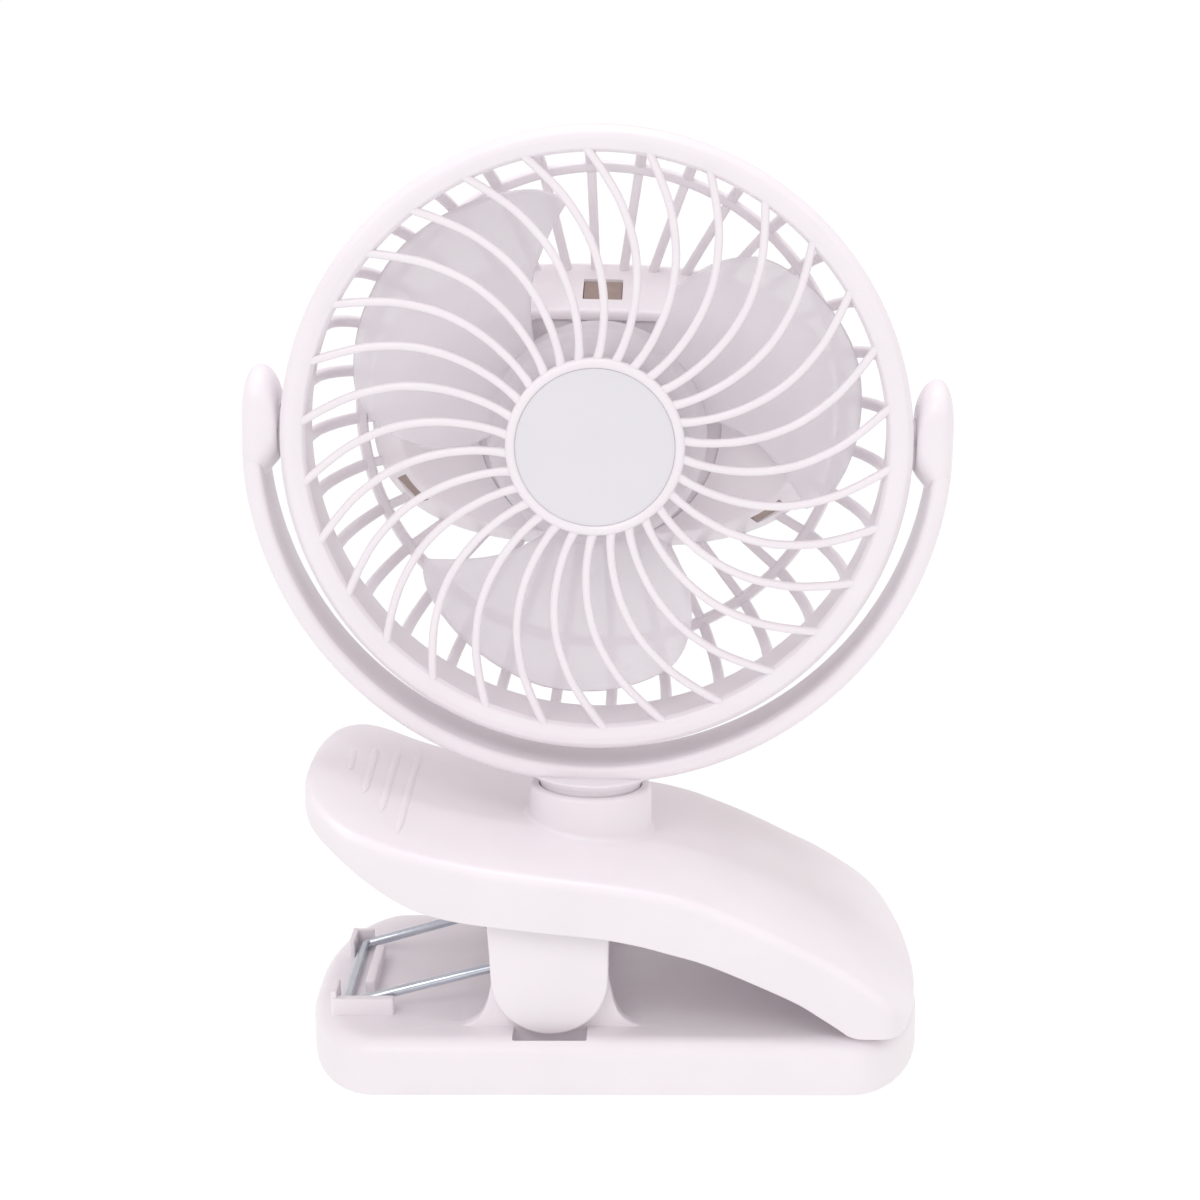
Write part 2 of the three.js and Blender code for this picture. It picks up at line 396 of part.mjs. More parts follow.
for (let k = 0; k < CAGE.ribs; k++) {
  const deg = CAGE.ribPhase + k * 360 / CAGE.ribs, a = rad(deg), h = CAGE.ribW / 2;
  // side bar from the rim back to the ring
  const prof = [[64.6, 8.0], [63.7, 18.5], [60.4, 27.6], [54.2, 35.0], [52.8, 33.4], [57.9, 27.2], [61.6, 17.8], [62.4, 8.0]];
  const s = new THREE.Shape(prof.map(([r, y]) => new THREE.Vector2(r, y)));
  const g = new THREE.ExtrudeGeometry(s, { depth: 2 * h, bevelEnabled: false }).translate(0, 0, -h).rotateY(-a);
  sideBars.push(solid(g));
  // back bar from the ring to the housing, where there is room for one
  const r0 = 1 / ((Math.abs(Math.cos(a)) / OVAL.a) ** OVAL.n + (Math.abs(Math.sin(a)) / OVAL.b) ** OVAL.n) ** (1 / OVAL.n);
  if (r0 < CAGE.ringIn - 1.2) backBars.push(solid(box(r0 + 0.8, 53.6, 32.7, 34.8, -h, h).rotateY(-a)));
}
const windowAt = (deg, w) => {
  // square snap window half-way down the housing's sloping wall
  const a = rad(deg), c = Math.cos(a), s = Math.sin(a), [oa, ob] = ovalAt(25);
  const r = 1 / ((Math.abs(c) / oa) ** OVAL.n + (Math.abs(s) / ob) ** OVAL.n) ** (1 / OVAL.n);
  const x = r * c, z = r * s;
  const nx = Math.sign(c) * (Math.abs(x) / oa) ** (OVAL.n - 1) / oa, nz = Math.sign(s) * (Math.abs(z) / ob) ** (OVAL.n - 1) / ob;
  return { x, z, turn: Math.atan2(nz, nx), w };
};
const windows = [windowAt(90, 8.6), windowAt(203, 7.6), windowAt(331, 7.6)];
const windowCut = ({ x, z, turn, w }) => solid(new THREE.BoxGeometry(12, 8.4, w).rotateY(-turn).translate(x, 25.0, z));
// trunnion on the rim: wide boss, then a pin that turns in the yoke's ear
const trunnion = () => turned([[0, 64.6], [TRUNNION.boss, 64.6], [TRUNNION.boss, TRUNNION.seat - 0.3], [TRUNNION.boss - 0.3, TRUNNION.seat], [TRUNNION.r, TRUNNION.seat], [TRUNNION.r, TRUNNION.end - 0.4], [TRUNNION.r - 0.4, TRUNNION.end], [0, TRUNNION.end]], 28, 'x');
const crown = cut(
  join(cageRim, ...sideBars, solid(trunnion()), solid(trunnion().rotateZ(Math.PI))),
  // seat of the back ring at the ends of the side bars
  solid(bar(CAGE.ringR + 0.3, 'y', CAGE.ringY0 - 0.3, 40, 0, 0, 40)),
);
// sectors of four side bars each, parted half-way between two bars
for (let k = 0; k < CAGE.sectors; k++) {
  const step = 360 / CAGE.sectors, slit = 0.15 / 64 * 180 / Math.PI;
  const a0 = rad(CAGE.ribPhase - 1.5 * 360 / CAGE.ribs + k * step + slit), a1 = rad(CAGE.ribPhase - 1.5 * 360 / CAGE.ribs + (k + 1) * step - slit), am = (a0 + a1) / 2;
  const wedge = plateXZ([[0, 0], ...[a0, am, a1].map((a) => [110 * Math.cos(a), 110 * Math.sin(a)])], -20, 60);
  put(head, `rear_cage_${k + 1}`, crown.intersect(solid(wedge)), WHITE());
}
put(head, 'cage_back', join(cageRing, ...backBars), WHITE());

const motorHousing = cut(
  join(cut(cup, cupInside),
    // cradle ribs under the battery cell
    cut(join(solid(box(18.6, 20.2, 17.6, 33.4, -19, 3)), solid(box(-20.2, -18.6, 17.6, 33.4, -19, 3))), solid(bar(CELL.r + 0.35, 'x', -40, 40, CELL.y, CELL.z, 32)))),
  // shallow round recess and hole for the motor's nose
  solid(bar(26.6, 'y', 14, 17.0, 0, 0, 32)).intersect(solid(box(-30, 30, 10, 17.0, -30, 22.6))),
  solid(bar(4.4, 'y', 14, 20, 0, 0, 24)),
  solid(bar(1.15, 'y', 14, 20, 8.5, 0, 12)), solid(bar(1.15, 'y', 14, 20, -8.5, 0, 12)),
  ...windows.map(windowCut),
);
put(head, 'motor_housing', motorHousing, WHITE());

// ---- rear cover ----------------------------------------------------------
const coverOut = solid(loft([ovalRing(OVAL.a, OVAL.b, COVER.y0), ovalRing(OVAL.a - 0.3, OVAL.b - 0.3, 40), ovalRing(OVAL.a - 1.6, OVAL.b - 1.6, 44.5), ovalRing(OVAL.a - 3.8, OVAL.b - 3.8, 47.6), ovalRing(OVAL.a - 6.6, OVAL.b - 6.6, 49.1), ovalRing(OVAL.a - 8.6, OVAL.b - 8.6, COVER.back)], 'xz'));
const coverIn = solid(loft([ovalRing(OVAL.a - 2, OVAL.b - 2, COVER.y0 - 1), ovalRing(OVAL.a - 2.3, OVAL.b - 2.3, 40), ovalRing(OVAL.a - 3.8, OVAL.b - 3.8, 44.2), ovalRing(OVAL.a - 7.6, OVAL.b - 7.6, 47.5)], 'xz'));
const hooks = windows.map(({ x, z, turn, w }) => {
  const h = w / 2 - 0.5;
  const g = join(solid(box(-4.4, -3.1, 21.2, 38.0, -h, h)), solid(box(-4.4, -1.3, 26.9, 28.9, -h + 0.4, h - 0.4)), solid(box(-4.4, 2.9, 36.0, 38.0, -2.6, 2.6)));
  const m = new THREE.Matrix4().makeRotationY(-turn).setPosition(x, 0, z);
  return g.transform(m.elements);
});
const BUTTON = { x: 0, z: 17.4 }, LENS = { x: 11, z: 17.4 }, USB = { x: 0, z: 7.6 };
const rearCover = cut(join(cut(coverOut, coverIn), ...hooks),
  solid(bar(4.5, 'y', 44, 52, BUTTON.x, BUTTON.z, 28)),
  solid(bar(1.65, 'y', 44, 52, LENS.x, LENS.z, 16)),
  solid(box(USB.x - 4.6, USB.x + 4.6, 44, 52, USB.z - 1.95, USB.z + 1.95)));
put(head, 'rear_cover', rearCover, WHITE());

// ---- what the housing holds ---------------------------------------------
const motor = cut(
  solid(turned([[0, 16.7], [3.9, 16.7], [3.9, MOTOR.y0], [MOTOR.r - 0.8, MOTOR.y0], [MOTOR.r, MOTOR.y0 + 0.8], [MOTOR.r, MOTOR.y1 - 0.8], [MOTOR.r - 0.8, MOTOR.y1], [0, MOTOR.y1]], 28)),
  solid(bar(1.35, 'y', 15, 25.6, 0, 0, 16)),
  solid(bar(1.1, 'y', 15, 21.8, 8.5, 0, 12)), solid(bar(1.1, 'y', 15, 21.8, -8.5, 0, 12)));
put(head, 'motor', motor, finish(0xb9bcc0, 0.35, 0.9));
for (const [i, x] of [[1, -8.5], [2, 8.5]]) {
  const body = join(solid(turned([[0, 15.6], [1.4, 15.6], [1.75, 15.9], [1.75, 16.8], [0, 16.8]], 16)), solid(bar(0.9, 'y', 16.6, 21.4, 0, 0, 10)));
  put(head, `motor_screw_${i}`, cut(body, solid(box(-1.1, 1.1, 15, 16.1, -0.22, 0.22))), STEEL()).position.x = x;
}
put(head, 'battery_cell', solid(turned([[0, -CELL.half], [8.6, -CELL.half], [CELL.r, -CELL.half + 0.6], [CELL.r, CELL.half - 1.6], [8.4, CELL.half - 1.1], [3.2, CELL.half - 1.1], [3.0, CELL.half], [0, CELL.half]], 24, 'x')), finish(0x3f6f9f, 0.4)).position.set(0, CELL.y, CELL.z);
put(head, 'battery_contact_negative', solid(box(-33.5, -32.8, 33.2, 41.2, CELL.z - 4.5, CELL.z + 4.5)), STEEL());
put(head, 'battery_contact_positive', solid(box(32.8, 33.5, 33.2, 41.2, CELL.z - 4.5, CELL.z + 4.5)), STEEL());
put(head, 'circuit_board', solid(box(-19, 19, 41.0, 42.6, 3.6, 23.4)), finish(0x2f6b46, 0.5));
put(head, 'tact_switch', join(solid(box(BUTTON.x - 3, BUTTON.x + 3, 42.75, 43.9, BUTTON.z - 3, BUTTON.z + 3)), solid(bar(1.7, 'y', 43.6, 44.6, BUTTON.x, BUTTON.z, 16))), finish(0x3a3a3e, 0.5));
put(head, 'usb_port', cut(solid(box(USB.x - 4.0, USB.x + 4.0, 42.8, 49.2, USB.z - 1.4, USB.z + 1.4)),
  cut(solid(box(USB.x - 3.5, USB.x + 3.5, 44.4, 50, USB.z - 0.95, USB.z + 0.95)), solid(box(USB.x - 1.8, USB.x + 1.8, 44, 48.2, USB.z - 0.1, USB.z + 0.4)))), STEEL());
put(head, 'indicator_lens', join(solid(bar(1.45, 'y', 47.0, 49.6, LENS.x, LENS.z, 14)), solid(bar(2.3, 'y', 46.3, 47.1, LENS.x, LENS.z, 16))), finish(0xdfe9ef, 0.15, 0, 0.7));
put(head, 'power_button', solid(turned([[0, 45.7], [1.6, 45.7], [1.6, 46.2], [5.6, 46.2], [5.6, 47.1], [4.2, 47.1], [4.2, 50.2], [3.6, 50.9], [0, 51.1]], 28)), finish(0xf1edf0, 0.35))
  .position.set(BUTTON.x, 0, BUTTON.z);

// ---- impeller ------------------------------------------------------------
const fanHub = solid(turned([[0, -6.2], [11, -6.0], [18.2, -5.0], [21.8, -3.0], [FAN.hubR, 0], [FAN.hubR, 10.5], [21.6, 10.5], [21.6, 0.8], [18.5, -2.4], [4.4, -3.4], [4.4, 6.5], [1.06, 6.5], [1.06, -4.6], [0, -4.6]], 36));
// blade edges as angles from the blade's middle, and the tip's radius, across its width
const EDGE_CW = [[0, -9], [0.25, -16], [0.5, -23], [0.75, -31], [1, -38]];
const EDGE_CCW = [[0, 43], [0.2, 47.5], [0.45, 47.5], [0.7, 44], [0.85, 41], [1, 37]];
const TIP = [[-1, 48.6], [-0.8, 52.8], [-0.45, 55.6], [-0.15, 56.9], [0.03, 57.4], [0.4, 56.2], [0.67, 54.2], [0.9, 51.4], [1, 48.8]];
function blade(k) {
  const NS = 5, NV = 8, centre = rad(FAN.centreDeg + k * 120);
  const point = (i, j, side) => {
    const s = i / NS, v = Math.sin((-1 + 2 * j / NV) * 1.25) / Math.sin(1.25);
    const r = 22.3 + (lerpAt(TIP, v) - 22.3) * s;
    const a = centre + rad(lerpAt(EDGE_CW, s) + (lerpAt(EDGE_CCW, s) - lerpAt(EDGE_CW, s)) * (v + 1) / 2);
    const y = 3.9 - (5.5 + 3.6 * s) * v + 0.5 * s + side * 0.75;
    return V3(r * Math.cos(a), y, r * Math.sin(a));
  };
  const pos = [], ix = [], W = NV + 1, id = (i, j, side) => (side > 0 ? (NS + 1) * W : 0) + i * W + j;
  for (const side of [-1, 1]) for (let i = 0; i <= NS; i++) for (let j = 0; j <= NV; j++) { const p = point(i, j, side); pos.push(p.x, p.y, p.z); }
  for (let i = 0; i < NS; i++) for (let j = 0; j < NV; j++) {
    ix.push(id(i, j, -1), id(i + 1, j, -1), id(i + 1, j + 1, -1), id(i, j, -1), id(i + 1, j + 1, -1), id(i, j + 1, -1));
    ix.push(id(i, j, 1), id(i + 1, j + 1, 1), id(i + 1, j, 1), id(i, j, 1), id(i, j + 1, 1), id(i + 1, j + 1, 1));
  }
  const edge = [];
  for (let j = 0; j < NV; j++) edge.push([0, j]);
  for (let i = 0; i < NS; i++) edge.push([i, NV]);
  for (let j = NV; j > 0; j--) edge.push([NS, j]);
  for (let i = NS; i > 0; i--) edge.push([i, 0]);
  edge.forEach(([i, j], e) => {
    const [p, q] = edge[(e + 1) % edge.length];
    ix.push(id(i, j, -1), id(p, q, -1), id(p, q, 1), id(i, j, -1), id(p, q, 1), id(i, j, 1));
  });
  const g = new THREE.BufferGeometry();
  g.setAttribute('position', new THREE.Float32BufferAttribute(pos, 3));
  g.setIndex(ix);
  return solid(g);
}
put(head, 'impeller', join(fanHub, ...Array.from({ length: FAN.blades }, (_, k) => blade(k))), finish(0xe6e4e8, 0.35, 0, 0.75));
put(head, 'motor_shaft', solid(turned([[0, -4.3], [0.7, -4.3], [1.0, -4.0], [1.0, 24.8], [0.7, 25.1], [0, 25.1]], 12)), STEEL());

export default root;
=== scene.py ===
import math
import bpy
import bmesh
from mathutils import Matrix, Vector


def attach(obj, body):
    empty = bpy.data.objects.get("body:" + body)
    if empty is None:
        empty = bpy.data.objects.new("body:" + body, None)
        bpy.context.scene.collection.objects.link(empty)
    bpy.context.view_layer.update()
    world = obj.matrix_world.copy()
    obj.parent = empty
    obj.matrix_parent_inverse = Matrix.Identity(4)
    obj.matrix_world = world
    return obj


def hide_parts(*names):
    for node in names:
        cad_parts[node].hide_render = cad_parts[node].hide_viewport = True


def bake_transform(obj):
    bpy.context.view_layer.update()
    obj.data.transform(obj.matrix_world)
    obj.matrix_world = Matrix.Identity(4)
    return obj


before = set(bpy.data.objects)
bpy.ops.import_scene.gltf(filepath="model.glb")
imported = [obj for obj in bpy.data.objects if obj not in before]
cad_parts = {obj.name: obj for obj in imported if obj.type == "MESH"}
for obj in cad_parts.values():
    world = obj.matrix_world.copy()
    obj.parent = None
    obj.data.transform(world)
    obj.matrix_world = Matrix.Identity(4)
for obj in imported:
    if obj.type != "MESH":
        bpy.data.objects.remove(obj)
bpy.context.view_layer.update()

V = Vector
rad = math.radians
sin, cos, pi = math.sin, math.cos, math.pi

HEAD = (-2.5, 0.0, 133.6)
LEAN = Matrix.Translation(HEAD) @ Matrix.Rotation(rad(1.8), 4, "Y")
PIVOT = (-12.8, 24.4)


# ---------------------------------------------------------------- numbers
def smooth_table(table):
    """Smooth curve through [x, value] pairs without overshoot."""
    xs, ys = [p[0] for p in table], [p[1] for p in table]
    n = len(xs)
    d = [(ys[i + 1] - ys[i]) / (xs[i + 1] - xs[i]) for i in range(n - 1)]
    m = [d[0]] + [0.0 if d[i - 1] * d[i] <= 0 else 2 * d[i - 1] * d[i] / (d[i - 1] + d[i]) for i in range(1, n - 1)] + [d[-1]]

    def f(x):
        x = min(max(x, xs[0]), xs[-1])
        i = 0
        while i < n - 2 and x > xs[i + 1]:
            i += 1
        h = xs[i + 1] - xs[i]
        t = (x - xs[i]) / h
        return ((1 + 2 * t) * (1 - t) ** 2 * ys[i] + t * (1 - t) ** 2 * h * m[i] + t * t * (3 - 2 * t) * ys[i + 1] + t * t * (t - 1) * h * m[i + 1])
    return f


def spline(points, per):
    """Centripetal-like smooth curve through points, per samples a span."""
    p = [2 * V(points[0]) - V(points[1])] + [V(q) for q in points] + [2 * V(points[-1]) - V(points[-2])]
    out = []
    for i in range(1, len(p) - 2):
        for k in range(per):
            t = k / per
            out.append(0.5 * ((2 * p[i]) + (p[i + 1] - p[i - 1]) * t + (2 * p[i - 1] - 5 * p[i] + 4 * p[i + 1] - p[i + 2]) * t * t + (3 * p[i] - p[i - 1] - 3 * p[i + 1] + p[i + 2]) * t ** 3))
    out.append(V(points[-1]))
    return out


def rounded(pts, r, n=4, closed=True):
    """Polyline with its corners turned into arcs; r is one radius or one for each corner."""
    out, N = [], len(pts)
    for i, p in enumerate(pts):
        ri = r[i] if isinstance(r, (list, tuple)) else r
        if ri <= 0 or (not closed and i in (0, N - 1)):
            out.append(tuple(p))
            continue
        a, b, c = V(pts[i - 1]), V(p), V(pts[(i + 1) % N])
        u, w = (a - b), (c - b)
        lu, lw = u.length, w.length
        u, w = u / lu, w / lw
        ang = math.acos(max(-1, min(1, u.dot(w))))
        if ang > 3.1:
            out.append(tuple(p))
            continue
        t = min(ri / math.tan(ang / 2), 0.49 * lu, 0.49 * lw)
        rr = t * math.tan(ang / 2)
        mid = (u + w).normalized()
        o = b + mid * (rr / sin(ang / 2))
        s, e = b + u * t - o, b + w * t - o
        for k in range(n + 1):
            f = k / n
            q = (s * (1 - f) + e * f)
            if q.length > 1e-9:
                q = q.normalized() * rr
            out.append(tuple(o + q))
    return out


# ---------------------------------------------------------------- mesh code
class Solid:
    def __init__(self):
        self.v, self.f, self.m = [], [], []

    def add(self, verts, faces, mat=0):
        off = len(self.v)
        self.v += [V(p) for p in verts]
        self.f += [[i + off for i in f] for f in faces]
        self.m += [mat] * len(faces)
        return self

    def grid(self, rows, close_rows=True, loop=False, caps=(False, False), mat=0):
        n, verts, faces = len(rows[0]), [p for r in rows for p in r], []
        R = len(rows)
        for k in range(R if loop else R - 1):
            for i in range(n if close_rows else n - 1):
                j, kk = (i + 1) % n, (k + 1) % R
                faces.append([k * n + i, k * n + j, kk * n + j, kk * n + i])
        if caps[0]:
            faces.append(list(range(n))[::-1])
        if caps[1]:
            faces.append([(R - 1) * n + i for i in range(n)])
        return self.add(verts, faces, mat)

    def lathe(self, profile, seg=128, axis="y", centre=(0, 0, 0), closed=True, mat=0, a0=0.0, a1=2 * pi):
        full = abs(a1 - a0 - 2 * pi) < 1e-6
        rows = []
        for k in range(seg if full else seg + 1):
            a = a0 + (a1 - a0) * k / seg
            c, s = cos(a), sin(a)
            row = []
            for r, h in profile:
                r = max(r, 0.0)
                p = (r * c, h, r * s) if axis == "y" else (r * c, r * s, h) if axis == "z" else (h, r * c, r * s)
                row.append(V(p) + V(centre))
            rows.append(row)
        return self.grid(rows, close_rows=closed, loop=full, caps=(not full, not full), mat=mat)

    def prism(self, outline, lo, hi, axis="y", bevel=0.5, n=3, mat=0):
        """Outline given thickness along an axis, with rounded edges."""
        N = len(outline)
        area = sum(outline[i][0] * outline[(i + 1) % N][1] - outline[(i + 1) % N][0] * outline[i][1] for i in range(N))
        o = [V((p[0], p[1])) for p in (outline if area > 0 else outline[::-1])]
        nor = []
        for i in range(N):
            e0, e1 = (o[i] - o[i - 1]).normalized(), (o[(i + 1) % N] - o[i]).normalized()
            n0, n1 = V((-e0.y, e0.x)), V((-e1.y, e1.x))
            m = n0 + n1
            m = m / max(0.5, m.dot(n0)) if m.length > 1e-6 else n0
            nor.append(m)
        rows = []
        steps = [(bevel * (1 - sin(k * pi / 2 / n)), bevel * (1 - cos(k * pi / 2 / n))) for k in range(n + 1)]
        for d, h in steps:
            rows.append([(o[i] + nor[i] * d, lo + h) for i in range(N)])
        for d, h in steps[::-1]:
            rows.append([(o[i] + nor[i] * d, hi - h) for i in range(N)])
        to = {"y": lambda q, h: V((q.x, h, q.y)), "z": lambda q, h: V((q.x, q.y, h)), "x": lambda q, h: V((h, q.x, q.y))}[axis]
        return self.grid([[to(q, h) for q, h in r] for r in rows], caps=(True, True), mat=mat)

    def sweep(self, path, across, sides, width, depth, mat=0, ends=True, shape=2.6):
        """Bar of rounded section along a path; across(i, tangent) is its width direction."""
        rows, N = [], len(path)
        for i, p in enumerate(path):
            t = (path[min(i + 1, N - 1)] - path[max(i - 1, 0)]).normalized()
            w = across(i, t)
            w = (w - t * w.dot(t)).normalized()
            d = w.cross(t)
            wi, de = (width(i / (N - 1)), depth(i / (N - 1))) if callable(width) else (width, depth)
            row = []
            for k in range(sides):
                a = (k + 0.5) * 2 * pi / sides
                c, s = cos(a), sin(a)
                row.append(V(p) + w * (wi / 2 * math.copysign(abs(c) ** (2 / shape), c)) + d * (de / 2 * math.copysign(abs(s) ** (2 / shape), s)))
            rows.append(row)
        return self.grid(rows, caps=(ends, ends), mat=mat)

    def joined(self, other):
        return self.add(other.v, other.f)


def finish_mesh(ob, sharp=34):
    me = ob.data
    bm = bmesh.new()
    bm.from_mesh(me)
    bmesh.ops.remove_doubles(bm, verts=bm.verts, dist=2e-6)
    bmesh.ops.dissolve_degenerate(bm, edges=bm.edges, dist=1e-6)
    bmesh.ops.recalc_face_normals(bm, faces=bm.faces)
    bm.to_mesh(me)
    bm.free()
    for p in me.polygons:
        p.use_smooth = True
    me.set_sharp_from_angle(angle=rad(sharp))


def make(name, s, mats, matrix=None, sharp=34):
    me = bpy.data.meshes.new(name)
    me.from_pydata([tuple(p) for p in s.v], [], s.f)
    for m in mats:
        me.materials.append(m)
    for p, k in zip(me.polygons, s.m):
        p.material_index = k
    if matrix is not None:
        me.transform(matrix)
    me.transform(Matrix.Scale(0.001, 4))
    ob = bpy.data.objects.new(name, me)
    bpy.context.scene.collection.objects.link(ob)
    finish_mesh(ob, sharp)
    return ob


def boolean(ob, tools, matrix=None, operation="DIFFERENCE", sharp=34):
    """Joins or cuts with closed tools."""
    tool = make("tool", tools, [], matrix)
    m = ob.modifiers.new("cut", "BOOLEAN")
    m.operation, m.object, m.solver, m.use_self = operation, tool, "EXACT", operation == "UNION"
    bpy.context.view_layer.update()
    dg = bpy.context.evaluated_depsgraph_get()
    me = bpy.data.meshes.new_from_object(ob.evaluated_get(dg))
    ob.modifiers.clear()
    ob.data = me
    bpy.data.objects.remove(tool)
    finish_mesh(ob, sharp)
    return ob


def place(ob, body, nodes):
    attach(ob, body)
    if nodes:
        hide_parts(*nodes)
    return ob


# ---------------------------------------------------------------- materials
def material(name, color, rough, metallic=0.0, grain=(1800.0, 0.012), mottle=0.025, blotch=55.0, rough_var=0.06, **extra):
    """Moulded or drawn surface: fine texture as bump, slow variation in tone and gloss."""
    m = bpy.data.materials.new(name)
    m.use_nodes = True
    nt = m.node_tree
    b = nt.nodes["Principled BSDF"]
    b.inputs["Metallic"].default_value = metallic
    for k, v in extra.items():
        b.inputs[k.replace("_", " ")].default_value = v
    tc = nt.nodes.new("ShaderNodeTexCoord")
    slow = nt.nodes.new("ShaderNodeTexNoise")
    slow.inputs["Scale"].default_value = blotch
    slow.inputs["Detail"].default_value = 4.0
    nt.links.new(tc.outputs["Object"], slow.inputs["Vector"])
    ramp = nt.nodes.new("ShaderNodeValToRGB")
    ramp.color_ramp.elements[0].position, ramp.color_ramp.elements[1].position = 0.3, 0.7
    ramp.color_ramp.elements[0].color = (*[c * (1 - mottle) for c in color[:3]], 1)
    ramp.color_ramp.elements[1].color = (*[min(1, c * (1 + mottle * 0.4)) for c in color[:3]], 1)
    nt.links.new(slow.outputs["Fac"], ramp.inputs["Fac"])
    nt.links.new(ramp.outputs["Color"], b.inputs["Base Color"])
    fine = nt.nodes.new("ShaderNodeTexNoise")
    fine.inputs["Scale"].default_value = grain[0]
    fine.inputs["Detail"].default_value = 3.0
    nt.links.new(tc.outputs["Object"], fine.inputs["Vector"])
    rr = nt.nodes.new("ShaderNodeMapRange")
    rr.inputs["To Min"].default_value, rr.inputs["To Max"].default_value = rough - rough_var, rough + rough_var
    nt.links.new(fine.outputs["Fac"], rr.inputs["Value"])
    nt.links.new(rr.outputs["Result"], b.inputs["Roughness"])
    bump = nt.nodes.new("ShaderNodeBump")
    bump.inputs["Strength"].default_value = 0.35
    bump.inputs["Distance"].default_value = grain[1] * 0.001
    nt.links.new(fine.outputs["Fac"], bump.inputs["Height"])
    nt.links.new(bump.outputs["Normal"], b.inputs["Normal"])
    return m


def drawn_steel(name, color, rough, stretch=(40, 40, 40)):
    """Drawn or turned steel: long fine scratches and slight staining."""
    m = material(name, color, rough, metallic=1.0, grain=(900.0, 0.004), mottle=0.10, blotch=120.0, rough_var=0.08)
    nt = m.node_tree
    tc = [n for n in nt.nodes if n.type == "TEX_COORD"][0]
    mp = nt.nodes.new("ShaderNodeMapping")
    mp.inputs["Scale"].default_value = stretch
    w = nt.nodes.new("ShaderNodeTexNoise")
    w.inputs["Scale"].default_value, w.inputs["Detail"].default_value = 60.0, 5.0
    nt.links.new(tc.outputs["Object"], mp.inputs["Vector"])
    nt.links.new(mp.outputs["Vector"], w.inputs["Vector"])
    bump = [n for n in nt.nodes if n.type == "BUMP"][0]
    nt.links.new(w.outputs["Fac"], bump.inputs["Height"])
    return m


SHELL = (0.888, 0.845, 0.874)
shell = material("shell_satin", SHELL, 0.34, Subsurface_Weight=0.06, Subsurface_Radius=(1.0, 0.6, 0.6), Subsurface_Scale=0.0008)
# painted shade: a darker copy of the shell colour meant for inner walls, which are the same white plastic
shell_in_painted_shade = material("inner_wall_painted_shade", (0.80, 0.755, 0.765), 0.5)
cap_mat = material("cap_satin", (0.775, 0.765, 0.80), 0.42, mottle=0.015, grain=(2600.0, 0.010))
plate_mat = material("plate_matt", (0.80, 0.77, 0.79), 0.52, grain=(1500.0, 0.03))
pad_mat = material("pad_rubber", (0.20, 0.19, 0.205), 0.85, grain=(2200.0, 0.08), mottle=0.12)
blade_mat = material("blade_cloudy", (0.93, 0.90, 0.93), 0.34, mottle=0.02, Alpha=0.70)
steel = drawn_steel("wire_steel", (0.62, 0.66, 0.72), 0.24)
screw_steel = drawn_steel("plated_steel", (0.66, 0.67, 0.70), 0.30, (6, 6, 300))
can_mat = drawn_steel("motor_can", (0.60, 0.61, 0.63), 0.34, (300, 8, 300))
sleeve_mat = material("cell_sleeve", (0.05, 0.16, 0.34), 0.32, mottle=0.06)
board_mat = material("board_mask", (0.03, 0.14, 0.06), 0.38, mottle=0.2, blotch=400.0)
black_mat = material("switch_black", (0.03, 0.03, 0.033), 0.45)
lens_mat = material("lens_clear", (0.80, 0.88, 0.92), 0.10, grain=(3000.0, 0.002), Transmission_Weight=0.6, IOR=1.45)
# painted shade: the hooks are the same white plastic as the cover; the dark brown stands for the shade inside the
# housing seen through the windows
hook_painted_shade_mat = material("hook_painted_shade", (0.36, 0.27, 0.24), 0.6, mottle=0.10, blotch=300.0)

# ---------------------------------------------------------------- camera, lights, floor
cam = bpy.data.objects.new("camera", bpy.data.cameras.new("camera"))
bpy.context.scene.collection.objects.link(cam)
pan, pitch, roll = rad(-2.1246), rad(14.0892), rad(-0.7947)
fwd = V((sin(pan) * cos(pitch), cos(pan) * cos(pitch), -sin(pitch)))
r0 = V((cos(pan), -sin(pan), 0))
u0 = r0.cross(fwd)
right = r0 * cos(roll) + u0 * sin(roll)
up = -r0 * sin(roll) + u0 * cos(roll)
cam.matrix_world = Matrix(((right.x, up.x, -fwd.x, 0.019963), (right.y, up.y, -fwd.y, -0.600), (right.z, up.z, -fwd.z, 0.248654), (0, 0, 0, 1)))
cam.data.sensor_width = 36.0
cam.data.lens = 2876.72 * 36 / 1200
cam.data.clip_start, cam.data.clip_end = 0.01, 100
bpy.context.scene.camera = cam

fl = bpy.data.meshes.new("floor")
fl.from_pydata([(-9, -9, 0), (9, -9, 0), (9, 9, 0), (-9, 9, 0)], [], [(0, 1, 2, 3)])
floor = bpy.data.objects.new("floor", fl)
bpy.context.scene.collection.objects.link(floor)
fm = bpy.data.materials.new("floor_pale")
fm.use_nodes = True
fb = fm.node_tree.nodes["Principled BSDF"]
fb.inputs["Base Color"].default_value = (0.15, 0.15, 0.15, 1)
fb.inputs["Roughness"].default_value = 1.0
fb.inputs["Specular IOR Level"].default_value = 0.0
fb.inputs["Emission Color"].default_value = (1, 1, 1, 1)
fb.inputs["Emission Strength"].default_value = 0.89
fl.materials.append(fm)

world = bpy.data.worlds.new("studio")
bpy.context.scene.world = world
world.use_nodes = True
world.node_tree.nodes["Background"].inputs["Color"].default_value = (1.0, 0.945, 0.955, 1)
world.node_tree.nodes["Background"].inputs["Strength"].default_value = 0.80


def softbox(name, pos, target, size, watts, color=(1, 1, 1)):
    l = bpy.data.lights.new(name, "AREA")
    l.shape, l.size, l.energy, l.color = "DISK", size, watts, color
    o = bpy.data.objects.new(name, l)
    bpy.context.scene.collection.objects.link(o)
    o.location = pos
    o.rotation_mode = "QUATERNION"
    o.rotation_quaternion = (V(target) - V(pos)).to_track_quat("-Z", "Y")
    return o


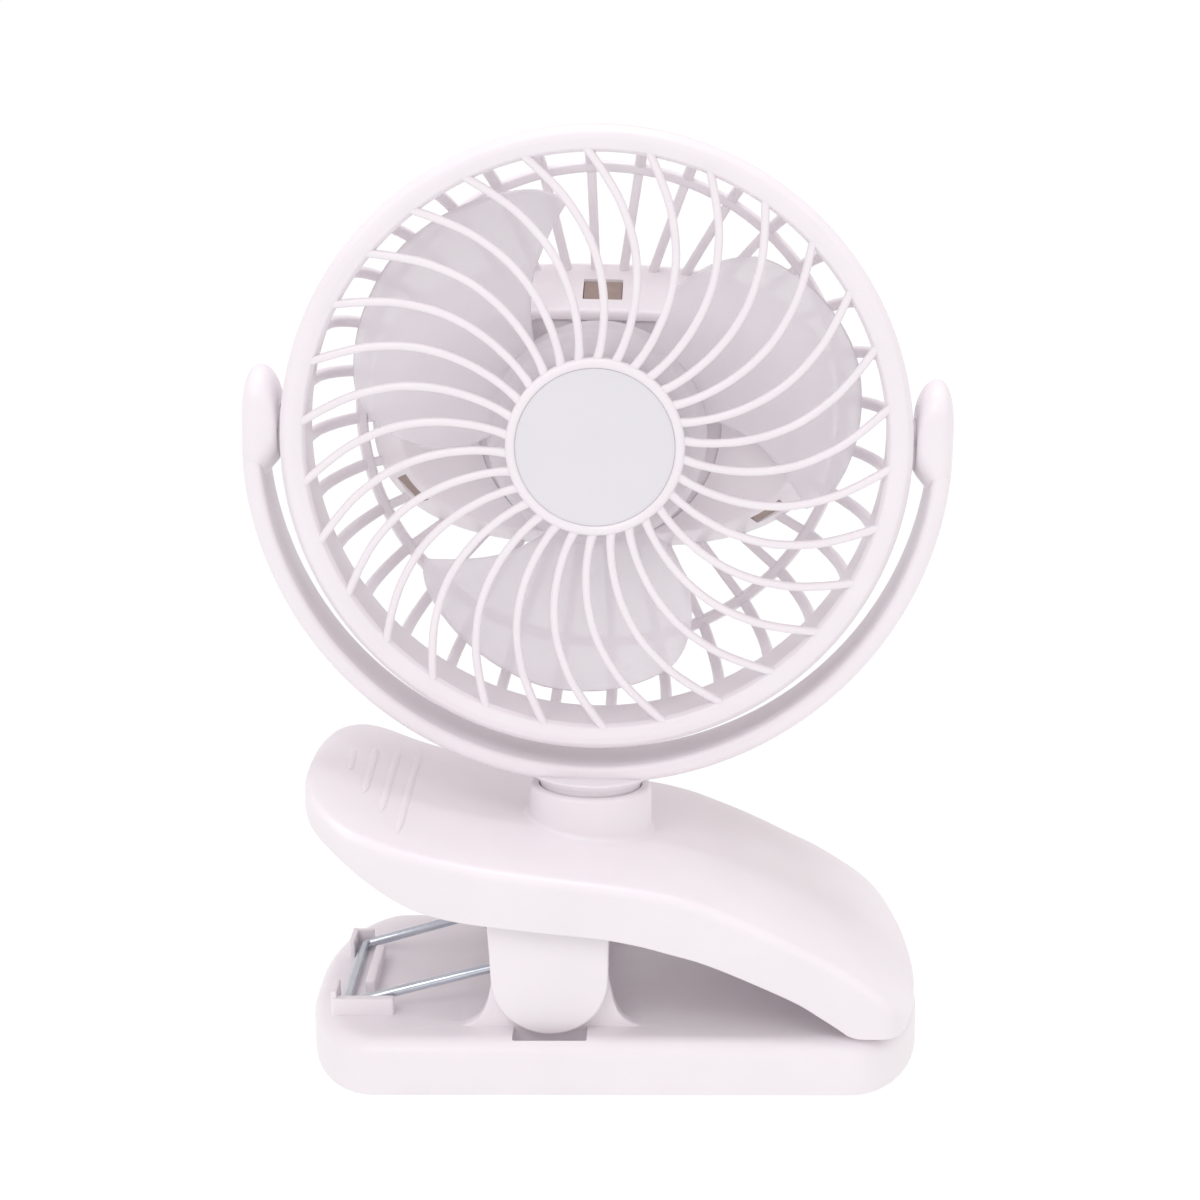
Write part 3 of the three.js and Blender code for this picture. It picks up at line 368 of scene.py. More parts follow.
softbox("key", (-0.7, -1.5, 1.7), (0, 0, 0.09), 1.1, 8.5, (0.96, 1.0, 1.02))
softbox("fill", (0.95, -0.85, 0.55), (0, 0, 0.10), 0.6, 0.5)
softbox("top", (0.0, 0.1, 2.6), (0, 0, 0.10), 1.2, 17.0, (0.97, 1.0, 1.02))
bpy.context.scene.view_settings.view_transform = "Standard"
bpy.context.scene.view_settings.look = "None"

# ================================================================ base
HX, HY, RX, RY = 66, 40, 16, 36


def base_ring(inset, z, n=184):
    out = []
    for i in range(n):
        t = (i + 0.5) * 2 * pi / n
        c, s = cos(t), sin(t)
        nx, ny = c / RX, s / RY
        l = math.hypot(nx, ny)
        out.append(V((math.copysign(HX - RX, c) + RX * c - inset * nx / l, math.copysign(HY - RY, s) + RY * s - inset * ny / l, z)))
    return out


TOP, FIL = 12.6, 4.3
b = Solid()
rows = [base_ring(2.2, 4.0), base_ring(2.2, 0.9), base_ring(1.9, 0.6), base_ring(0.75, 0.6), base_ring(0.35, 0.72), base_ring(0.08, 1.1), base_ring(0.0, 1.8), base_ring(0, 5.0)]
rows += [base_ring(FIL * (1 - cos(a)), TOP - FIL * (1 - sin(a))) for a in [rad(7.5 * k) for k in range(13)]]
b.grid(rows, caps=(True, True))
base = make("base_body", b, [shell])
post = [(-20.6, 11.0), (-20.6, 12.45), (-18.7, 12.75), (-17.0, 13.4), (-15.4, 14.5), (-14.3, 16.0), (-13.4, 18.2), (-12.7, 21.5), (-12.1, 25.0)]
post_out = [(PIVOT[0] + x, z) for x, z in post] + [(PIVOT[0] - 11.9 * cos(i * pi / 20), 25.0 + 9.4 * sin(i * pi / 20)) for i in range(1, 20)] + [(PIVOT[0] - x, z) for x, z in post[::-1]]
add = Solid()
for y in (-31.0, 28.0):
    add.prism(post_out, y, y + 3.0, bevel=0.45)
boolean(base, add, operation="UNION")
add = Solid()


def rbox(s, x0, x1, y0, y1, z0, z1, r=0.6, bevel=0.4, mat=0):
    o = rounded([(x0, y0), (x1, y0), (x1, y1), (x0, y1)], r, 4)
    return s.prism(o, z0, z1, axis="z", bevel=bevel, mat=mat)


rbox(add, -60.2, -46.8, -25.2, -22.6, 11.6, 16.3, 0.6, 0.4)
rbox(add, -60.4, -59.1, -24.6, -16.8, 11.4, 17.8, 0.4, 0.35)
rbox(add, -60.4, -59.1, 9.0, 17.6, 11.5, 16.6, 0.4, 0.35)
rbox(add, -60.3, -55.5, 16.4, 17.6, 11.4, 16.5, 0.4, 0.35)
rbox(add, -54.2, -52.0, -14.0, 8.6, 11.4, 16.0, 0.7, 0.5)
rbox(add, -14.2, -11.4, -28.3, -27.2, 11.4, 19.4, 0.3, 0.3)
rbox(add, -14.2, -11.4, 27.2, 28.3, 11.4, 19.4, 0.3, 0.3)
boolean(base, add, operation="UNION")
hole = Solid()
hole.lathe([(0, -45), (2.15, -45), (2.15, 45), (0, 45)], 48, centre=(PIVOT[0], 0, PIVOT[1]), closed=False)
rbox(hole, -20.7, -5.0, -37.7, -31.2, 6.0, 14.0, 0.35, 0.05)
rbox(hole, -20.7, -5.0, 31.2, 37.7, 6.0, 14.0, 0.35, 0.05)
boolean(base, hole)
place(base, "base", ["base_shell"])

# ================================================================ arm
T = smooth_table([[-66.5, 60.4], [-65.9, 61.9], [-65.0, 62.35], [-63.6, 62.5], [-60.2, 61.6], [-56.2, 60.0], [-51.8, 58.05], [-47.0, 56.1], [-41.0, 54.1], [-33.0, 52.1], [-23.0, 50.1], [-12.0, 48.5], [0.0, 46.9], [9.5, 45.3], [16.5, 43.5], [22.5, 41.2], [28.5, 38.6], [34.5, 35.7], [40.0, 32.8], [45.0, 30.3], [49.5, 27.5], [53.5, 24.8], [57.0, 22.1], [60.0, 19.5], [61.8, 17.9], [63.3, 16.6], [64.7, 15.5], [65.8, 14.6]])
B = smooth_table([[-66.5, 58.4], [-65.2, 57.0], [-63.2, 55.9], [-59.2, 54.2], [-54.8, 51.3], [-50.0, 47.4], [-45.0, 43.7], [-39.0, 40.6], [-31.0, 38.5], [-22.0, 37.2], [-12.2, 36.0], [-1.5, 34.8], [6.5, 33.2], [12.5, 31.5], [18.0, 29.9], [23.5, 27.8], [29.0, 25.4], [34.5, 22.9], [39.7, 20.3], [44.0, 17.5], [47.8, 14.95], [50.2, 13.35], [52.5, 12.93], [56.0, 12.9], [60.0, 12.9], [65.8, 12.9]])
WR = smooth_table([[20, 38.7], [46, 39.3], [55.0, 39.6], [57.8, 39.3], [59.7, 38.0], [61.2, 35.4], [62.6, 31.0], [63.9, 24.6], [64.9, 16.8], [65.5, 8.5], [65.75, 0.0]])


def half_width(x):
    if x < -50:
        return 35.7 * max(0.0, 1 - min(1.0, (-x - 50) / 16.4) ** 2.35) ** (1 / 2.1) + 3.0 * max(0.0, 1 - min(1.0, (-x - 50) / 16.4) ** 14) ** 0.5
    return WR(x) if x > 20 else 38.7


dense = []
for i in range(4001):
    u = -cos(pi * i / 4000)
    dense.append((-0.325 + 66.075 * u, 0))
dense = [(x, half_width(x)) for x, _ in dense]
dense[0], dense[-1] = (-66.4, 0.0), (65.75, 0.0)
length = [0.0]
for p, q in zip(dense, dense[1:]):
    length.append(length[-1] + math.hypot(q[0] - p[0], q[1] - p[1]))
NH = 170
half, k = [], 0
for i in range(NH + 1):
    want = length[-1] * i / NH
    while k < len(length) - 2 and length[k + 1] < want:
        k += 1
    f = (want - length[k]) / max(1e-9, length[k + 1] - length[k])
    half.append((dense[k][0] + (dense[k + 1][0] - dense[k][0]) * f, dense[k][1] + (dense[k + 1][1] - dense[k][1]) * f))
outline = half + [(x, -y) for x, y in half[-2:0:-1]]
ON = len(outline)
normals = []
for i in range(ON):
    p, q = V(outline[i - 2]), V(outline[(i + 2) % ON])
    t = (q - p).normalized()
    normals.append(V((t.y, -t.x)))          # inwards: the outline runs clockwise seen from above
FR = 2.4


def arm_ring(inset, zf):
    out = []
    for (x, y), n in zip(outline, normals):
        q = V((x, y)) + n * inset
        if abs(x) > 58 and y * q.y < 0:
            q.y = 0.0
        out.append(V((q.x, q.y, zf(x, q.x))))
    return out


def room(x):
    return max(0.35, min(1.0, (T(x) - B(x)) / 8.0))


def fill(inset, zf, steps):
    rows = []
    for s in range(1, steps + 1):
        f = 1 - s / steps
        row = []
        for (x, y), n in zip(outline, normals):
            q = V((x, y)) + n * inset
            xs = x * 0.82
            px, py = xs + (q.x - xs) * f, q.y * f
            row.append(V((px, py, zf(px))))
        rows.append(row)
    return rows


def crown(x, y):
    return 0.6 * max(0.0, 1 - (x / 60.0) ** 4) * (1 - min(1.0, (y / 34.0) ** 2)) - 0.35 * (y / 38.0) ** 2


arm = Solid()
rows = []
inner_top = lambda x: max(T(x) - 2.5, B(x) + 0.12)
rows += fill(2.4, inner_top, 9)[::-1]
rows.append(arm_ring(2.4, lambda x, qx: inner_top(x)))
rows.append(arm_ring(2.4, lambda x, qx: B(x) + 0.08))
rows.append(arm_ring(2.1, lambda x, qx: B(x)))
rows.append(arm_ring(0.5, lambda x, qx: B(x)))
rows.append(arm_ring(0.12, lambda x, qx: B(x) + 0.16))
rows.append(arm_ring(0.0, lambda x, qx: B(x) + 0.5))
for k in range(0, 15):
    a = pi / 2 * k / 14
    rows.append(arm_ring(0, lambda x, qx: 0))
    for i, ((x, y), n) in enumerate(zip(outline, normals)):
        r = FR * room(x)
        q = V((x, y)) + n * (r * (1 - cos(a)))
        rows[-1][i] = V((q.x, q.y, max(B(x) + 0.5 + 0.002 * k, T(q.x) - r * (1 - sin(a))) + crown(q.x, q.y)))
ends = []
for s in range(1, 13):
    f = 1 - s / 12
    row = []
    for (x, y), n in zip(outline, normals):
        q = V((x, y)) + n * (FR * room(x))
        xs = x * 0.80
        g = f
        px, py = xs + (q.x - xs) * g, q.y * g
        row.append(V((px, py, T(px) + crown(px, py))))
    ends.append(row)
rows += ends
arm.grid(rows)
arm_ob_body = make("arm_shell", arm, [shell], sharp=50)
extra = Solid()
tab = [(-26.2, 49.2), (-25.9, 38.0), (-25.4, 30.0), (PIVOT[0] - 12.4, PIVOT[1])]
tab += [(PIVOT[0] - 12.4 * cos(i * pi / 40), PIVOT[1] - 12.4 * sin(i * pi / 40)) for i in range(1, 40)]
tab += [(PIVOT[0] + 12.4, PIVOT[1]), (-0.25, 30.0), (0.1, 38.0), (0.3, 45.4)]
for y in (-34.3, 31.3):
    extra.prism(tab, y, y + 3.0, bevel=0.55, n=4)
for x, y0, y1 in [(-58.2, -2.0, 12.0), (-53.9, -13.0, 19.0), (-49.5, -20.5, 26.0), (-45.1, -29.8, 31.5)]:
    path = []
    for i in range(41):
        y, px = y0 + (y1 - y0) * i / 40, x + 0.7 * (1 - i / 40)
        path.append(V((px, y, T(px) + crown(px, y) + 0.06)))
    taper = lambda f: min(1.0, 0.15 + 9 * min(f, 1 - f))
    slope = V((1, 0, (T(x + 1) - T(x - 1)) / 2)).normalized()
    extra.sweep(path, lambda i, t, s=slope: s, 12, lambda f: 1.7 * taper(f), lambda f: 1.0 * taper(f), shape=2.0)
arm_trim = make("arm_tabs_and_ridges", extra, [shell])
collar = Solid()
prof = rounded([(3.6, -89.4), (12.9, -89.4), (13.6, -86.2), (13.5, -84.0), (13.25, -76.6), (11.12, -76.6), (11.12, -82.0), (3.6, -82.0)], [0.2, 0.6, 0.3, 2.0, 1.0, 0.5, 0.4, 0.3], 6)
collar.lathe(prof, 144, axis="z")
arm_collar = make("arm_collar", collar, [shell], LEAN)
flare = Solid()
rows = []
for k in range(120):
    a = 2 * pi * k / 120
    row = []
    for r, h in [(12.6, 1.5)] + [(13.5 + 1.3 * (1 - cos(pi / 2 * i / 10)), 1.3 * (1 - sin(pi / 2 * i / 10))) for i in range(11)] + [(14.8, -0.7), (12.6, -0.7)]:
        x, y = -5.1 + r * cos(a), r * sin(a)
        z = T(x) + crown(x, y) + h
        row.append(V((x + (z - 49.0) * 0.0314, y, z)))
    rows.append(row)
flare.grid(rows, loop=True)
arm_flare = make("arm_collar_fillet", flare, [shell], sharp=60)
place(arm_ob_body, "arm", ["clamp_arm_shell"])
place(arm_trim, "arm", [])
place(arm_collar, "arm", [])
place(arm_flare, "arm", [])

# ================================================================ torsion spring
def spring_points():
    R, P = 3.7, PIVOT
    cx, cz = -57.5, 13.95
    tip, via, low = (-40, 49.9), (-24.5, 22.0), (cx + 2.4, cz + 0.35)

    def ang(q, side):
        dx, dz = q[0] - P[0], q[1] - P[1]
        return math.atan2(dz, dx) + side * math.acos(R / math.hypot(dx, dz))
    a_top, a_low = ang(tip, 1), ang(via, -1)
    while a_low < a_top:
        a_low += 2 * pi
    a_end = a_low + 2 * pi

    def side(y_out, y_in, y_low):
        pts = []
        t0 = V((P[0] + R * cos(a_top), y_out, P[1] + R * sin(a_top)))
        tv = V((tip[0], y_out, tip[1]))
        for k in (0, 0.35, 0.7, 0.92):
            pts.append(tv.lerp(t0, k))
        n = round((a_end - a_top) / rad(15))
        for i in range(n + 1):
            a = a_top + (a_end - a_top) * i / n
            pts.append(V((P[0] + R * cos(a), y_out + (y_in - y_out) * i / n, P[1] + R * sin(a))))
        e, lv, vv = pts[-1].copy(), V((low[0], y_low, low[1])), V((via[0], y_in + (y_low - y_in) * 0.3, via[1]))
        for k in (0.3, 0.7):
            pts.append(e.lerp(vv, k))
        for k in (0, 0.2, 0.6, 1):
            pts.append(vv.lerp(lv, k))
        return pts
    yF, yR = -21.0, 14.8
    bend = [V((cx + 0.7, yF + 0.5, cz + 0.05)), V((cx, yF + 2.2, cz)), V((cx, 0, cz)), V((cx, yR - 2.2, cz)), V((cx + 0.7, yR - 0.5, cz + 0.05))]
    return side(-26.4, -19.6, yF) + bend + side(26.4, 19.2, yR)[::-1]


def tube(s, path, r, sides=14, mat=0):
    """Round wire that keeps its section from twisting."""
    rows, w = [], None
    N = len(path)
    for i, p in enumerate(path):
        t = (path[min(i + 1, N - 1)] - path[max(i - 1, 0)]).normalized()
        w = (V((0, 1, 0.01)) if w is None else w)
        w = w - t * w.dot(t)
        w = w.normalized() if w.length > 1e-6 else V((0, 0, 1))
        d = t.cross(w)
        rows.append([p + w * (r * cos(2 * pi * k / sides)) + d * (r * sin(2 * pi * k / sides)) for k in range(sides)])
    return s.grid(rows, caps=(True, True), mat=mat)


spring = Solid()
tube(spring, spline(spring_points(), 3), 1.05)
spring_ob = make("spring_wire", spring, [steel], sharp=60)
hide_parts("torsion_spring")
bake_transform(spring_ob)

# ================================================================ yoke
yk = Solid()
RI, RO, HW = 70.9, 74.9, 8.0


def yoke_section(inner, outer, hw, ro=1.9, ri=1.2):
    return rounded([(inner, -hw), (outer, -hw), (outer, hw), (inner, hw)], [ri, ro, ro, ri], 6)


rows = []
for k in range(193):
    a = pi + pi * k / 192
    # the ends draw in under the ears
    f = min(1.0, max(0.0, (RO * sin(a) + 8.0) / 6.0))
    f = f * f * (3 - 2 * f)
    rows.append([V((cos(a) * r, y, sin(a) * r)) for r, y in yoke_section(RI + 0.7 * f, RO - 1.1 * f, HW - 1.4 * f)])
yk.grid(rows, caps=(True, True))
yoke_ob = make("yoke_band", yk, [shell], LEAN, sharp=40)
EAR = [(67.2, 6.5, 7.2, -5.2), (67.3, 6.9, 8.3, -5.8), (67.8, 7.4, 10.2, -6.6), (68.7, 7.75, 12.1, -7.7), (70.0, 7.95, 13.5, -9.3), (71.3, 8.0, 14.0, -10.9), (72.5, 7.85, 13.8, -11.5), (73.4, 7.4, 13.0, -11.4), (74.2, 6.5, 11.5, -10.6), (74.75, 5.2, 9.5, -9.2), (75.05, 3.6, 7.2, -7.0), (75.17, 1.8, 4.6, -4.4), (75.2, 0.5, 1.9, -1.4)]
ears = Solid()
for side in (-1, 1):
    rows = []
    for x, h, top, bottom in spline(EAR, 4):
        h = max(h, 0.2)
        row = [V((side * min(x, 75.2), h * cos(pi * i / 28), top - h + h * sin(pi * i / 28))) for i in range(29)]
        row += [V((side * min(x, 75.2), -h * cos(pi * i / 28), bottom + h - h * sin(pi * i / 28))) for i in range(29)]
        rows.append(row)
    ears.grid(rows, caps=(True, True))
ears_ob = make("yoke_ears", ears, [shell], LEAN, sharp=50)
bores = Solid()
for side in (-1, 1):
    bores.lathe([(0, side * 66), (5.62, side * 66), (5.62, side * 67.98), (3.6, side * 67.98), (3.6, side * 72.9), (0, side * 72.9)], 64, axis="x", closed=False)
boolean(ears_ob, bores, LEAN, sharp=50)
boolean(yoke_ob, bores, LEAN, sharp=40)
nk = Solid()
nk.lathe(rounded([(1.45, -89.3), (3.2, -89.3), (3.2, -81.7), (11.0, -81.7), (11.0, -75.9), (13.9, -73.4), (1.45, -73.4)], [0.1, 0.3, 0.2, 0.4, 2.2, 0.2, 0.1], 6), 96, axis="z")
neck_ob = make("yoke_neck", nk, [shell], LEAN, sharp=40)
place(yoke_ob, "yoke_body", ["yoke"])
place(ears_ob, "yoke_body", [])
place(neck_ob, "yoke_body", [])

# ================================================================ front grille
gr = Solid()
rim = rounded([(61.4, -6.1), (66.4, -6.1), (66.5, -8.0), (65.2, -9.9), (63.6, -10.25), (61.6, -9.7), (60.8, -8.3)], [0.15, 0.2, 1.4, 1.2, 1.6, 1.0, 0.9], 5)
gr.lathe(rim, 240)
hub = rounded([(0, -9.2), (18.3, -9.2), (18.8, -9.8), (18.8, -12.4), (16.74, -12.4), (16.74, -10.7), (0, -10.7)], [0, 0.3, 0.3, 1.01, 1.01, 0.05, 0], 7)
gr.lathe(hub, 160, closed=False)
sweep_curve = spline([(r * cos(rad(d)), r * sin(rad(d)), 0) for r, d in [(17.4, -13.9), (19.6, -15.9), (22.4, -17.1), (26.4, -17.5), (32.0, -16.7), (38.0, -14.7), (44.0, -11.8), (50.8, -7.6), (56.0, -3.9), (61.0, -0.4), (63.1, 1.0)]], 5)
for k in range(30):
    path = []
    for q in sweep_curve:
        r, a = q.length, rad(8.6 + 12 * k) + math.atan2(q.y, q.x)
        path.append(V((r * cos(a), -10.75 + 2.15 * ((r - 17.4) / 45.7) ** 2, r * sin(a))))
    gr.sweep(path, lambda i, t: t.cross(V((0, 1, 0))), 14, lambda f: 1.75 + 0.35 * (1 - min(1, f * 5)) + 0.55 * max(0, (f - 0.93) / 0.07), lambda f: 2.1, shape=2.5)
grille = make("grille_front", gr, [shell], LEAN, sharp=42)
place(grille, "head", ["front_grille"])
cp = Solid()
cp.lathe(rounded([(0, -10.8), (16.72, -10.8), (16.72, -11.8), (16.0, -11.92), (0, -12.0)], [0, 0.05, 0.15, 0.4, 0], 4), 160, closed=False)
cap_ob = make("hub_cap", cp, [cap_mat], LEAN)
place(cap_ob, "head", ["center_cap"])

# ================================================================ rear cage
OA, OB, ON_, AF, BF, Y0, Y1 = 51.6, 31.8, 2.7, 43.5, 24.6, 16.0, 34.8


def oval(a, b, y, n=144):
    out = []
    for i in range(n):
        t = i * 2 * pi / n
        # points spread by direction so that the flatter sides keep enough of them
        c, s = cos(t), sin(t)
        r = 1 / ((abs(c) / a) ** ON_ + (abs(s) / b) ** ON_) ** (1 / ON_)
        out.append(V((r * c, y, r * s)))
    return out


def oval_at(y):
    f = (y - Y0) / (Y1 - Y0)
    return AF + (OA - AF) * f, BF + (OB - BF) * f


cup = Solid()
a26 = oval_at(26)
outer = [oval(AF - 1.6, BF - 1.6, Y0), oval(AF - 0.7, BF - 0.7, Y0 + 0.15), oval(AF - 0.05, BF - 0.05, Y0 + 0.55), oval(AF + 0.45, BF + 0.45, Y0 + 1.3), oval(*a26, 26), oval(OA, OB, Y1)]
inner = [oval(OA - 2, OB - 2, Y1), oval(a26[0] - 2, a26[1] - 2, 26), oval(AF - 2.2, BF - 2.2, Y0 + 2.6), oval(AF - 3.4, BF - 3.4, Y0 + 2.0)]
cup.grid(outer + inner, caps=(True, True))
cage = make("motor_housing_piece", cup, [shell], LEAN, sharp=32)


def window(deg, w):
    a = rad(deg)
    c, s = cos(a), sin(a)
    oa, ob = oval_at(25)
    r = 1 / ((abs(c) / oa) ** ON_ + (abs(s) / ob) ** ON_) ** (1 / ON_)
    x, z = r * c, r * s
    nx = math.copysign((abs(x) / oa) ** (ON_ - 1) / oa, c)
    nz = math.copysign((abs(z) / ob) ** (ON_ - 1) / ob, s)
    return x, z, math.atan2(nz, nx), w


WINDOWS = [window(90, 8.6), window(203, 7.6), window(331, 7.6)]
cuts = Solid()
for x, z, turn, w in WINDOWS:
    t = Solid()
    rbox(t, -6, 6, 20.8, 29.2, -w / 2, w / 2, 0.3, 0.3)
    m = Matrix.Translation((x, 0, z)) @ Matrix.Rotation(-turn, 4, "Y")
    cuts.add([m @ p for p in t.v], t.f)
cuts.lathe([(0, 14), (4.4, 14), (4.4, 20), (0, 20)], 48, closed=False)
for x in (-8.5, 8.5):
    cuts.lathe([(0, 14), (1.15, 14), (1.15, 20), (0, 20)], 24, centre=(x, 0, 0), closed=False)
boolean(cage, cuts, LEAN, sharp=32)
dish = Solid()
dish.lathe(rounded([(0, 13), (26.6, 13), (26.6, 16.75), (0, 16.75)], [0, 0, 0.3, 0], 3), 96, closed=False)
keep = Solid()
rbox(keep, -30, 30, 12.9, 16.8, -30, 22.6, 0.1, 0.05)
flat = make("flat_recess", dish, [], LEAN)
mod = flat.modifiers.new("keep", "BOOLEAN")
keep_ob = make("keep", keep, [], LEAN)
mod.operation, mod.object, mod.solver = "INTERSECT", keep_ob, "EXACT"
bpy.context.view_layer.update()
me = bpy.data.meshes.new_from_object(flat.evaluated_get(bpy.context.evaluated_depsgraph_get()))
flat.modifiers.clear()
flat.data = me
mod = cage.modifiers.new("dish", "BOOLEAN")
mod.operation, mod.object, mod.solver = "DIFFERENCE", flat, "EXACT"
bpy.context.view_layer.update()
me = bpy.data.meshes.new_from_object(cage.evaluated_get(bpy.context.evaluated_depsgraph_get()))
cage.modifiers.clear()
cage.data = me
for o in (flat, keep_ob):
    bpy.data.objects.remove(o)
finish_mesh(cage, 32)
place(cage, "head", ["motor_housing"])

bars = Solid()
rim = rounded([(61.8, -5.8), (66.2, -5.8), (66.15, -5.2), (65.2, 8.6), (64.5, 9.5), (62.2, 9.5), (61.8, 9.0)], [0.15, 0.2, 2.0, 0.5, 0.4, 0.4, 0.3], 4)
bars.lathe(rim, 240)
bars.lathe(rounded([(52.7, 32.6), (54.6, 32.3), (55.2, 33.2), (54.9, 35.0), (52.7, 35.0)], 0.5, 4), 200)
side_path = [(63.3, 7.5), (63.15, 12.0), (62.5, 18.2), (61.3, 23.0), (59.3, 27.6), (56.6, 31.6), (53.9, 34.1)]
for k in range(32):
    a = rad(3.5 + 11.25 * k)
    c, s = cos(a), sin(a)
    path = spline([(r * c, y, r * s) for r, y in side_path], 5)
    bars.sweep(path, lambda i, t, c=c, s=s: V((-s, 0, c)), 12, lambda f: 2.5, lambda f: 2.2, shape=3.2)
    r_in = 1 / ((abs(c) / OA) ** ON_ + (abs(s) / OB) ** ON_) ** (1 / ON_)
    if r_in < 52.5:
        path = [V((r * c, 33.75, r * s)) for r in (r_in - 1.3, r_in + 1, (r_in + 53.4) / 2, 53.4)]
        bars.sweep(path, lambda i, t, c=c, s=s: V((-s, 0, c)), 12, lambda f: 2.1, lambda f: 2.0, shape=3.2)
for side in (-1, 1):
    boss = rounded([(0, 64.4), (5.35, 64.4), (5.35, 67.7), (3.3, 67.7), (3.3, 72.6), (0, 72.6)], [0, 0.1, 0.3, 0.2, 0.4, 0], 4)
    bars.lathe([(r, side * h) for r, h in boss], 64, axis="x", closed=False)
bars_ob = make("cage_bars", bars, [shell], LEAN, sharp=42)
place(bars_ob, "head", ["rear_cage_%d" % (k + 1) for k in range(8)] + ["cage_back"])

# ================================================================ rear cover
cv = Solid()
shape_out = [(0.0, 35.1), (0.05, 38.0), (0.3, 41.0), (0.9, 43.6), (1.9, 45.6), (3.3, 47.2), (5.0, 48.4), (6.9, 49.15), (9.0, 49.5), (12.0, 49.5)]
outer = [oval(OA - d, OB - d, y) for d, y in shape_out]
shape_in = [(16.0, 47.6), (9.0, 47.5), (6.4, 46.7), (4.4, 45.0), (3.1, 42.4), (2.3, 39.0), (2.0, 35.1)]
inner = [oval(OA - d, OB - d, y) for d, y in shape_in]
cv.grid(inner + outer, caps=(True, True))
# second slot is the painted-shade darker copy of the shell
cover = make("cover_rear", cv, [shell, shell_in_painted_shade], LEAN, sharp=32)
hook = Solid()
for x, z, turn, w in WINDOWS:
    t = Solid()
    rbox(t, -4.4, -3.1, 21.2, 38.2, -w / 2 + 0.45, w / 2 - 0.45, 0.2, 0.2)
    rbox(t, -4.4, -1.3, 26.9, 28.9, -w / 2 + 0.85, w / 2 - 0.85, 0.2, 0.2)
    tongue = Solid()
    rbox(tongue, -2.0, -0.45, 20.95, 29.05, -w / 2 + 0.12, w / 2 - 0.12, 0.2, 0.15)
    oa, ob = oval_at(25)
    slope = (x * cos(turn) / oa * (OA - AF) + z * sin(turn) / ob * (OB - BF)) / (Y1 - Y0)
    t.add([V((p.x + slope * (p.y - 25), p.y, p.z)) for p in tongue.v], tongue.f)
    rbox(t, -4.4, 2.9, 36.0, 38.0, -2.6, 2.6, 0.2, 0.2)
    m = Matrix.Translation((x, 0, z)) @ Matrix.Rotation(-turn, 4, "Y")
    hook.add([m @ p for p in t.v], t.f)
# the hooks take the painted-shade brown instead of the white shell plastic
hooks = make("cover_hooks", hook, [hook_painted_shade_mat], LEAN)
cuts = Solid()
cuts.lathe([(0, 44), (4.5, 44), (4.5, 52), (0, 52)], 72, centre=(0, 0, 17.4), closed=False)
cuts.lathe([(0, 44), (1.65, 44), (1.65, 52), (0, 52)], 40, centre=(11, 0, 17.4), closed=False)
usb = rounded([(-4.6, 5.65), (4.6, 5.65), (4.6, 9.55), (-4.6, 9.55)], 1.6, 6)
cuts.prism(usb, 44, 52, bevel=0.01, n=1)
boolean(cover, cuts, LEAN, sharp=32)
place(cover, "head", ["rear_cover"])
place(hooks, "head", [])

bt = Solid()
bt.lathe(rounded([(0, 45.7), (1.6, 45.7), (1.6, 46.2), (5.6, 46.2), (5.6, 47.1), (4.2, 47.1), (4.2, 50.6), (2.6, 51.1), (0, 50.85)], [0, 0.1, 0.1, 0.2, 0.2, 0.1, 0.7, 1.0, 0], 5), 96, centre=(0, 0, 17.4), closed=False)
button = make("button_cap", bt, [shell], LEAN)
place(button, "button", ["power_button"])

# ================================================================ impeller
im = Solid()
hubp = rounded([(0, -6.2), (11, -6.05), (18.2, -5.0), (21.8, -3.0), (23.4, 0.2), (23.4, 10.5), (21.6, 10.5), (21.6, 0.8), (18.5, -2.4), (4.4, -3.4), (4.4, 6.5), (1.06, 6.5), (1.06, -4.6), (0, -4.6)],
               [0, 8, 5, 2.5, 1.6, 0.3, 0.3, 1.5, 1.2, 0.6, 0.2, 0.1, 0.1, 0], 5)
im.lathe(hubp, 144, closed=False)
E_CW = smooth_table([[0, -9], [0.25, -16], [0.5, -23], [0.75, -31], [1, -38]])
E_CCW = smooth_table([[0, 43], [0.2, 47.5], [0.45, 47.5], [0.7, 44], [0.85, 41], [1, 37]])
TIP = smooth_table([[-1, 48.6], [-0.93, 50.9], [-0.8, 53.0], [-0.45, 55.7], [-0.15, 57.0], [0.03, 57.4], [0.4, 56.2], [0.67, 54.2], [0.88, 51.8], [1, 48.8]])
NS, NV, TH = 26, 44, 0.75
